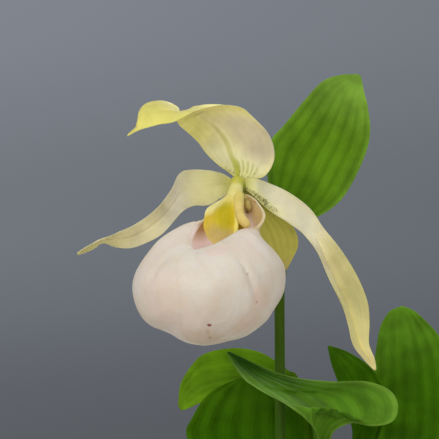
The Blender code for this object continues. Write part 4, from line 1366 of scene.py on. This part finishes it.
    def spots(self, grid: np.ndarray) -> tuple[Patch, ...]:
        """Small flecks, a pink flush and broader darker patches towards the bottom and sides, found on the side that
        faces the front.
        """
        flecks = [(209.3, 323.6, 1.05, srgb(140, 66, 60), 1.0), (209.9, 336.6, 1.0, srgb(128, 74, 58), 1.0),
                  (256.0, 302.6, 0.8, srgb(140, 108, 92), 0.9), (246.8, 273.6, 0.8, srgb(176, 150, 140), 0.8),
                  (208, 330, 1.6, srgb(214, 178, 160), 0.5),
                  (215, 252, 5.0, srgb(236, 204, 200), 0.5), (170, 300, 7.0, srgb(226, 210, 188), 0.4),
                  (262, 300, 6.5, srgb(222, 196, 174), 0.6), (200, 338, 9.0, srgb(208, 190, 162), 0.6),
                  (245, 322, 8.0, srgb(216, 194, 172), 0.5), (196, 252, 2.0, srgb(222, 158, 150), 0.6)]
        near = grid.reshape(-1, 3)
        near = near[near[:, 1] < self.centre[1] + 4]
        seen = seen_at(near)
        out = []
        for across, down, reach, colour, share in flecks:
            spot = near[np.argmin(np.hypot(seen[:, 0] - across, seen[:, 1] - down))] * MM
            out.append(Patch(colour, tuple(spot.tolist()), (reach * MM, reach * MM, reach * MM), share))
        return tuple(out)

    def make(self) -> Object:
        """Build, dress and settle the pouch.

        Returns:
            The finished piece.
        """
        plain = self.grid()
        grid = self.relief(plain, self._normals(plain))
        normal = self._normals(grid)
        cols = self.rows - 1
        back = self.sides * cols
        low, half = grid[0, 0], np.array([0, 0, self.wall / 2])
        outer, inner = ((grid + hand * normal * self.wall / 2)[:, 1:].reshape(-1, 3) for hand in (1, -1))
        points = np.concatenate([outer, inner, [low - half, low + half]])
        faces: list[tuple[int, ...]] = []
        for k in range(self.sides):
            n = (k + 1) % self.sides
            for i in range(cols - 1):
                a, b, c, d = k * cols + i, n * cols + i, n * cols + i + 1, k * cols + i + 1
                faces += [(a, b, c, d), (back + d, back + c, back + b, back + a)]
            faces += [(2 * back, n * cols, k * cols), (2 * back + 1, back + k * cols, back + n * cols)]
            a, b = k * cols + cols - 1, n * cols + cols - 1
            faces.append((a, b, back + b, back + a))
        turn, up = np.meshgrid(np.linspace(0, 1, self.sides, endpoint=False), np.linspace(0, 1, cols), indexing="ij")
        drift = 0.35 * np.sin(9 * up) + 0.2 * np.sin(31 * turn)
        veins = np.clip(np.cos(2 * math.pi * (self.veins * turn + drift)), 0,
                        1) ** 6
        claw = np.clip(-np.cos(2 * math.pi * turn), 0, 1) ** 1.5
        high = np.clip((up - self.claw_from) / 0.09, 0, 1)
        band = np.clip(claw * 3, 0, 1) * np.clip((up - self.rim_from) / 0.05, 0, 1)
        none = np.zeros(back)
        marks = {
            "vein": np.concatenate([veins.ravel(), veins.ravel(), [0, 0]]),
            "claw": np.concatenate([none, (np.clip(1.7 * claw, 0, 1) * high).ravel(), [0, 0]]),
            "under": np.concatenate([np.clip((up - self.inside_from) / 0.03, 0, 1).ravel(), np.ones(back), [0, 1]]),
            "rim": np.concatenate([band.ravel(), none, [0, 0]]),
        }
        uv = np.concatenate([np.stack([turn.ravel(), up.ravel()], 1)] * 2 + [np.zeros((2, 2))])
        piece = piece_from("pouch_skin", points, faces, uv, marks)
        return dress(piece, PouchFinish("pouch_wax", self.spots(grid)).make(), "pouch_white", "lip")


# ---- stems and the flower's centre ----


@dataclass
class Stems:
    """Flowering stem, shoot stem and seed vessel."""

    stem_radii: tuple[float, ...] = (1.5, 2.3, 2.35, 2.25, 2.0, 1.85, 1.8, 1.75, 1.2)
    sway: tuple[float, ...] = (0.0, 0.0, 0.0, 0.1, -0.1, -0.3, -0.45, -0.5, -0.4)
    heights: tuple[float, ...] = (78.2, 80.0, 97.0, 120.0, 160.0, 190.0, 215.0, 241.0, 243.0)
    shoot_radii: tuple[float, ...] = (1.3, 2.05, 2.05, 2.0, 1.9, 1.7, 1.2)
    shoot_heights: tuple[float, ...] = (78.2, 80.0, 97.0, 125.0, 150.0, 164.0, 165.0)

    def make(self) -> list[Object]:
        """Build, dress and settle the three rods.

        Returns:
            The stem, the shoot's stem and the seed vessel.
        """
        skin = FleshFinish(
            "stem_flesh", stops((0.0, 110, 104, 40), (0.2, 74, 104, 0), (0.6, 60, 98, 0), (1.0, 72, 98, 0)),
            srgb(84, 116, 4), 0.5, 0.5).make()
        line = np.array([(s, 0.0, z) for s, z in zip(self.sway, self.heights)])
        stem = dress(rod_piece("stem_skin", line, list(self.stem_radii), 30, 150), skin, "stem_green", "stem")
        line = np.array([shoot_at(z) for z in self.shoot_heights])
        shoot = rod_piece("shoot_stem_skin", line, list(self.shoot_radii), 26, 80)
        return [stem, dress(shoot, skin, "stem_green", "shoot_stem"), self.vessel()]

    def vessel(self) -> Object:
        """Ribbed seed vessel that runs up into the flower's centre."""
        a, b = np.array([-0.4, -0.1, STEM_TOP[2] - 0.6]), np.array(HUB)
        bend = np.array([0.9, 0.5, 1.0])
        spots = [0.0, 0.06, 0.2, 0.4, 0.6, 0.8, 0.93, 0.985]
        line = np.array([a + (b - a) * t + bend * 3.2 * t * (1 - t) for t in spots])
        piece = rod_piece("seed_vessel_skin", line, [1.75, 1.8, 2.1, 2.5, 2.5, 2.1, 1.7, 1.5], 36, 90)
        skin = FleshFinish(
            "seed_vessel_flesh", stops((0.0, 84, 110, 22), (0.5, 120, 138, 42), (1.0, 184, 184, 70)),
            srgb(96, 120, 26), 0.5, 0.55, bump=0.5, stretch=0.5)
        return dress(piece, skin.make(), "ovary_green", "ovary")


@dataclass
class Centre:
    """Column, shield, receptive finger and pollen bearers."""

    column_end: Point = sighted(234.8, 196.5, -24.4)
    knob: float = 2.0

    def column(self) -> Object:
        """Knob and leaning column that carry the shield."""
        a, b = np.array(HUB), np.array(self.column_end)
        ahead = unit(b - a)
        line = [a + ahead * self.knob * t for t in (-0.98, -0.8, -0.45, 0.0, 0.55)]
        line += [a + (b - a) * t for t in (0.55, 0.85, 1.15, 1.4)]
        piece = rod_piece("column_skin", np.array(line), [0.6, 1.5, 2.1, 2.3, 2.15, 2.35, 2.65, 2.5, 1.2], 36, 70)
        skin = FleshFinish(
            "column_flesh", stops((0.0, 186, 186, 60), (0.3, 206, 202, 86), (0.48, 236, 228, 150),
                                  (1.0, 240, 226, 140)),
            srgb(232, 218, 120), 0.4, 0.45, 0.25, 0.15, 0.5)
        return dress(piece, skin.make(), "column_yellow", "column")

    def shield(self) -> Object:
        """Broad yellow shield that hangs over the mouth."""
        rows = [(229, 193, -24.6, 242, 193.5, -24.4, 50), (222.5, 198.5, -26.2, 242.3, 198.5, -25.6, 60),
                (213.8, 203.2, -28, 242.3, 205, -26.6, 66), (206.4, 209.5, -29.4, 242.6, 212, -27, 70),
                (204.4, 218.5, -31, 243, 220, -28, 70), (204, 228, -33, 243.5, 229, -29.5, 66),
                (208.5, 239, -36, 240.5, 238, -33, 56), (219, 247, -40, 224, 246.6, -40, 10)]
        finish = BladeFinish(
            "shield_skin", stops((0.0, 240, 226, 140), (0.17, 240, 226, 132), (0.32, 238, 220, 70),
                                 (0.6, 228, 204, 50), (1.0, 228, 192, 110)),
            srgb(240, 214, 110), 0.4, srgb(196, 170, 10), 6, 0.15, srgb(214, 190, 90), 0.0, wander=0.1,
            roughness=0.45,
            gloss=0.2, glow=0.2,
            # The last three patches paint light and shade: painted shade in the hollow middle, a painted highlight
            # along the ridge and painted shade on the part folded back beyond it.
            patches=on_blade((216, 186, 56, 0.06, 0.5, 0.46, 0.32, 0.9),
                             (248, 236, 160, 0.04, 0.25, 0.4, 0.2, 1.0),
                             (214, 186, 112, 0.36, 0.86, 0.62, 0.42, 1.0),
                             (206, 186, 6, 0.5, 0.44, 0.34, 0.34, 0.85),
                             (255, 240, 130, 0.76, 0.58, 0.05, 0.44, 1.0),
                             (160, 138, 0, 0.9, 0.62, 0.11, 0.3, 0.95)))
        blade = Blade(
            "staminode", "shield_yellow", ribs(rows), finish.make(), Tissue.SHIELD, 100, 64, keel=1.1, keel_at=0.76,
            keel_width=0.04, wave_depth=0.12, wave_count=1.4)
        return blade.make()

    def finger(self) -> Object:
        """Pale receptive finger beside the shield."""
        seen = [(238.4, 195.5, -25.0), (238.7, 201.5, -27.2), (238.9, 207, -29.2), (239.3, 212, -30.8),
                (241.3, 217.8, -32.0), (244.9, 222.6, -32.7), (247.6, 226.0, -33.0), (248.4, 227.3, -33.0)]
        piece = rod_piece("finger_skin", np.array([sighted(*spot) for spot in seen]),
                          [2.0, 1.85, 1.65, 1.55, 1.6, 1.6, 1.25, 0.45], 30, 60)
        skin = FleshFinish(
            "finger_flesh", stops((0.0, 228, 212, 118), (0.6, 236, 212, 132), (1.0, 226, 200, 120)),
            srgb(214, 190, 90), 0.4, 0.42, 0.25, 0.2, 0.4)
        return dress(piece, skin.make(), "column_yellow", "stigma")

    def bearers(self) -> list[Object]:
        """The two stalked pollen bearers, one on each side of the column."""
        ahead, side = level_axes(FLOWER_TURN)
        path = [(1.4, -0.2, 0.3), (2.6, -0.4, 0.2), (3.8, -1.0, -0.9), (4.2, -1.2, -2.6), (4.3, -1.3, -4.4),
                (3.9, -1.2, -5.6)]
        skin = FleshFinish(
            "pollen_flesh", stops((0.0, 214, 200, 110), (0.45, 206, 186, 110), (0.75, 190, 166, 96),
                                  (1.0, 110, 84, 44)),
            srgb(110, 84, 44), 0.6, 0.6, 0.1, 0.6, 1.0).make()
        out = []
        for node, hand in (("anther_near", 1), ("anther_far", -1)):
            line = [np.array(self.column_end) + side * hand * s + ahead * f + np.array([0, 0, u]) for s, f, u in path]
            piece = rod_piece(node + "_skin", np.array(line), [0.6, 0.5, 0.6, 1.05, 1.05, 0.4], 22, 36, 0.85)
            out.append(dress(piece, skin, "pollen_brown", node))
        return out


# ---- pot and soil ----


@dataclass
class Pot:
    """Turned clay pot with a rim band, soil, bark and grit."""

    rim: float = 65.0
    neck: float = 61.5
    foot: float = 45.0
    height: float = 106.0
    band: float = 18.0
    wall: float = 4.5
    floor: float = 6.0
    drain_radius: float = 4.0
    drain_ring: float = 22.0
    drains: int = 3
    soil_top: float = 96.5

    def clay(self) -> Object:
        """Build, dress and settle the pot, with its drain holes bored through."""
        low = self.height - self.band
        inner = self.rim - self.wall
        outline = [
            (0, 0), (self.foot - 1.8, 0), (self.foot - 0.6, 0.35), (self.foot, 1.4), (self.neck - 0.35, low - 2.2),
            (self.neck, low - 0.6), (self.neck + 0.5, low), (self.rim - 1.2, low + 0.2), (self.rim - 0.3, low + 0.9),
            (self.rim, low + 2.2), (self.rim, self.height - 2.4), (self.rim - 0.5, self.height - 0.9),
            (self.rim - 1.6, self.height - 0.1), (inner + 1.6, self.height - 0.1), (inner + 0.4, self.height - 0.8),
            (inner, self.height - 2.2), (self.neck - self.wall, low), (self.foot - self.wall, self.floor + 0.6),
            (self.foot - self.wall - 0.8, self.floor), (0, self.floor)]
        piece = turned_piece("clay_pot", outline, 160)
        cutters = []
        for k in range(self.drains):
            a = 2 * math.pi * k / self.drains + math.pi / 2
            x, y = self.drain_ring * math.cos(a), self.drain_ring * math.sin(a)
            line = np.array([(x, y, z) for z in (-3.0, 3.0, 10.0)])
            cutter = rod_piece("drain_%d" % k, line, [self.drain_radius] * 3, 40, 3)
            cut = piece.modifiers.new("drain_%d" % k, "BOOLEAN")
            cut.operation, cut.solver, cut.object = "DIFFERENCE", "EXACT", cutter
            cutters.append(cutter)
        graph = bpy.context.evaluated_depsgraph_get()
        bored = bpy.data.meshes.new_from_object(piece.evaluated_get(graph), depsgraph=graph)
        piece.modifiers.clear()
        piece.data = bored
        for cutter in cutters:
            bpy.data.objects.remove(cutter, do_unlink=True)
        bored.materials.clear()
        bored.shade_smooth()
        bored.set_sharp_from_angle(angle=math.radians(50))
        return dress(piece, ClayFinish().make(), "terracotta", "pot")

    def soil(self) -> Object:
        """Build, dress and settle the body of soil, with an uneven top."""
        low = self.height - self.band
        neck = self.neck - self.wall - 0.3
        top = neck + (self.soil_top - 1.5 - low) * 0.19
        foot = self.foot - self.wall - 0.6
        base = self.floor + 0.4
        outline = [(0, base), (foot, base), (neck, low), (top, self.soil_top - 2.4), (top - 3, self.soil_top - 1.3),
                   (30, self.soil_top - 0.7), (3, self.soil_top - 0.4), (0, self.soil_top - 0.4)]
        piece = turned_piece("soil_body", outline, 150)
        mesh = piece.data
        co = np.zeros(len(mesh.vertices) * 3, np.float32)
        mesh.vertices.foreach_get("co", co)
        co = co.reshape(-1, 3)
        x, y, r = co[:, 0] * 900, co[:, 1] * 900, np.hypot(co[:, 0], co[:, 1])
        heap = 0.5 * np.sin(x * 0.31 + 1) * np.sin(y * 0.27)
        heap = heap + 0.35 * np.sin(x * 0.83 + y * 0.5) + 0.25 * np.sin(y * 1.3 - x * 0.7)
        upper = co[:, 2] > (self.soil_top - 2.6) * MM
        co[:, 2] += np.where(upper, (heap * 0.55 - 0.35) * MM, 0)
        mesh.vertices.foreach_set("co", co.ravel())
        mark = mesh.attributes.new("growth", "FLOAT", "POINT")
        mark.data.foreach_set("value", (upper & (r < (top - 1.5) * MM)).astype(np.float32))
        dark = CrumbFinish("damp_soil", stops((0.3, 46, 34, 26), (0.6, 72, 54, 40), (0.8, 92, 72, 54)),
                           from_noise=True)
        mesh.update()
        return dress(piece, dark.make(), "potting_soil", "soil")

    def crumbs(self, soil: Object) -> None:
        """Scatter grit and bark over the soil's top."""
        grit = CrumbFinish("grit_crumbs", stops((0.0, 60, 44, 32), (0.45, 96, 76, 56), (0.75, 140, 122, 98),
                                                (0.97, 214, 206, 192)))
        bark = CrumbFinish("bark_crumbs", stops((0.0, 58, 38, 26), (0.6, 104, 68, 44), (1.0, 132, 92, 60)))
        Scatter(Crumb.GRAIN, "grit_scatter").spread_on(
            "soil_grit", soil, {"Density": 190000.0, "Width": 0.0011, "Least": 0.45, "Most": 1.25,
                                "Tilt": 1.2, "Seed": 4, "Finish": grit.make()}, "potting_soil")
        Scatter(Crumb.GRAIN, "bark_scatter").spread_on(
            "soil_bark", soil, {"Density": 20000.0, "Width": 0.0024, "Least": 0.6, "Most": 1.4,
                                "Tilt": 0.5, "Seed": 11, "Finish": bark.make()}, "potting_soil")


@dataclass
class Down:
    """Short hairs on the seed vessel, stem, column and bract, and on the feet of the sepals and petals."""

    pale: Colour = srgb(206, 208, 150)
    green: Colour = srgb(104, 112, 40)
    width: float = 0.00005
    petal_width: float = 0.00008

    def make(self, grounds: dict[str, tuple[Object, float, float, str]]) -> None:
        """Grow hairs on each ground.

        Args:
            grounds: Piece, hairs per square metre, length in metres and slot, by the new piece's name.
        """
        pale = CrumbFinish("pale_down", [(0.0, self.green), (0.5, self.pale), (1.0, self.pale)], 0.7).make()
        dark = CrumbFinish("green_down", [(0.0, srgb(44, 52, 4)), (0.7, srgb(84, 92, 20)), (1.0, self.green)],
                           0.7).make()
        for seed, (name, (ground, density, length, slot)) in enumerate(grounds.items()):
            width, skin = (self.petal_width, dark) if slot.startswith("petal") else (self.width, pale)
            Scatter(Crumb.HAIR, name + "_scatter").spread_on(
                name, ground, {"Density": density, "Length": length, "Width": width, "Least": 0.5, "Most": 1.2,
                               "Tilt": 0.55, "Seed": seed, "Finish": skin}, slot)


# ---- studio ----


@dataclass
class Studio:
    """Pale floor, grey surround, soft lights and the camera."""

    width: float = 0.15365
    range: float = 0.6
    high: Colour = srgb(124, 129, 137)
    level: Colour = srgb(109, 114, 121)
    low: Colour = srgb(88, 91, 96)
    pale: Colour = srgb(222, 220, 216)
    fade: tuple[float, float] = (0.22, 1.0)
    horizon: float = 0.13
    slant: float = 0.75
    ambient: float = 0.66

    def camera(self) -> None:
        """Level camera in front of the flower."""
        data = bpy.data.cameras.new("studio_camera")
        data.sensor_width = 36.0
        data.lens = 36.0 * self.range / self.width
        data.clip_start, data.clip_end = 0.01, 20.0
        camera = add_object("studio_camera", data)
        camera.location = tuple(c * MM for c in EYE)
        camera.rotation_euler = (math.pi / 2, 0.0, 0.0)
        bpy.context.scene.camera = camera

    def floor(self) -> None:
        """Pale round floor that fades to the surround's grey at its edge."""
        rings, sides = (0.0, 0.15, 0.3, 0.6, 0.9, 1.3), 96
        turn = [2 * math.pi * k / sides for k in range(sides)]
        points = [(0.0, 0.0, FLOOR_DROP)]
        for radius in rings[1:]:
            points += [(radius * 1000 * math.cos(a), radius * 1000 * math.sin(a), FLOOR_DROP) for a in turn]
        faces = [(0, 1 + k, 1 + (k + 1) % sides) for k in range(sides)]
        faces += [(a, d, c, b) for a, b, c, d in ring_faces(len(rings) - 1, sides, 1)]
        mesh = bpy.data.meshes.new("studio_floor")
        mesh.from_pydata((np.array(points) * MM).tolist(), [], faces)
        piece = add_object("studio_floor", mesh)
        material, tree, node = shader("floor_paint", Roughness=0.85, Specular_IOR_Level=0.2)
        place = put(tree, "ShaderNodeTexCoord").outputs["Object"]
        far = vector_calc(tree, "LENGTH", place).outputs["Value"]
        noise = put(tree, "ShaderNodeTexNoise", {"Vector": place, "Scale": 3.0, "Detail": 2.0})
        near = blend_colour(tree, spread(tree, noise.outputs[0], 0.3, 0.7, 0.0, 0.3), self.pale, srgb(212, 210, 206))
        tree.links.new(near, node.inputs["Base Color"])
        glow = put(tree, "ShaderNodeEmission", {"Color": (*self.low, 1.0), "Strength": 1.0})
        mixed = put(tree, "ShaderNodeMixShader", {0: spread(tree, far, *self.fade, 0.0, 1.0), 1: node.outputs[0],
                                                  2: glow.outputs[0]})
        out = next(n for n in tree.nodes if n.type == "OUTPUT_MATERIAL")
        tree.links.new(mixed.outputs[0], out.inputs[0])
        mesh.materials.append(material)

    def surround(self) -> None:
        """Grey surround for the eye and a soft pale light for everything else."""
        world = bpy.data.worlds.new("studio_surround")
        bpy.context.scene.world = world
        world.use_nodes = True
        tree = world.node_tree
        tree.nodes.clear()
        way = put(tree, "ShaderNodeTexCoord").outputs["Generated"]
        parts = split(tree, way)
        near, whole = (put(tree, "ShaderNodeMapRange", {0: parts[2], 1: -reach, 2: reach, 3: 0.0, 4: 1.0}).outputs[0]
                       for reach in (self.horizon, 1.0))
        grey = ramp(tree, near, [(0.0, self.low), (0.5, self.level), (1.0, self.high)])
        slant = level_grey(tree, calc(tree, "SUBTRACT", 1.0, calc(tree, "MULTIPLY", parts[0], self.slant)))
        seen = put(tree, "ShaderNodeBackground", {0: blend_colour(tree, 1.0, grey, slant, "MULTIPLY"), 1: 1.0})
        soft = ramp(tree, whole, [(0.0, (0.42, 0.42, 0.40)), (0.5, (0.55, 0.56, 0.58)), (1.0, (0.95, 0.97, 1.0))])
        light = put(tree, "ShaderNodeBackground", {0: soft, 1: self.ambient})
        ray = put(tree, "ShaderNodeLightPath")
        mixed = put(tree, "ShaderNodeMixShader", {0: ray.outputs["Is Camera Ray"], 1: light.outputs[0],
                                                  2: seen.outputs[0]})
        out = put(tree, "ShaderNodeOutputWorld", {0: mixed.outputs[0]})
        out.is_active_output = True

    def lights(self) -> None:
        """Large soft key from the upper left, a weak fill and a back light."""
        target = np.array([-0.02, -0.02, 0.24])
        plan = [("key_light", (-0.5, -0.95, 0.75), 0.8, 5.2, (1.0, 0.98, 0.94)),
                ("fill_light", (0.5, -1.0, 0.35), 0.9, 2.3, (1.0, 0.98, 0.95)),
                ("back_light", (0.3, 0.8, 0.8), 0.6, 3.0, (1.0, 1.0, 0.98))]
        for name, place, size, power, colour in plan:
            data = bpy.data.lights.new(name, "AREA")
            data.size, data.energy, data.color = size, power, colour
            lamp = add_object(name, data)
            ahead = unit(target - np.array(place))
            lamp.location = place
            lamp.rotation_euler = (math.acos(float(-ahead[2])), 0.0, math.atan2(float(-ahead[0]), float(ahead[1])))

    def make(self) -> None:
        """Set up the whole studio."""
        self.camera()
        self.floor()
        self.surround()
        self.lights()
        bpy.context.scene.view_settings.view_transform = "Standard"


def main() -> None:
    """Build the studio and the plant in order."""
    logging.basicConfig(level=logging.INFO, format="%(name)s %(message)s")
    Studio().make()
    pot = Pot()
    pot.clay()
    pot.crumbs(pot.soil())
    stem, _, vessel = Stems().make()
    foliage = Foliage()
    skins = {blade.node: blade.make() for blade in foliage.leaves() + foliage.sheaths() + Flower().blades()}
    Pouch().make()
    centre = Centre()
    column = centre.column()
    centre.shield()
    centre.finger()
    centre.bearers()
    Down().make({
        "vessel_down": (vessel, 2200000.0, 0.0011, "ovary_green"),
        "stem_down": (stem, 130000.0, 0.0005, "stem_green"),
        "dorsal_down": (skins["dorsal_sepal"], 1500000.0, 0.0012, "petal_cream"),
        "left_petal_down": (skins["petal_left"], 500000.0, 0.001, "petal_cream"),
        "right_petal_down": (skins["petal_right"], 4500000.0, 0.0017, "petal_cream"),
        "lower_sepal_down": (skins["synsepal"], 700000.0, 0.001, "sepal_olive"),
        "bract_down": (skins["bract"], 300000.0, 0.0009, "leaf_green"),
        "column_down": (column, 60000.0, 0.0006, "column_yellow"),
    })


if __name__ == "__main__":
    main()
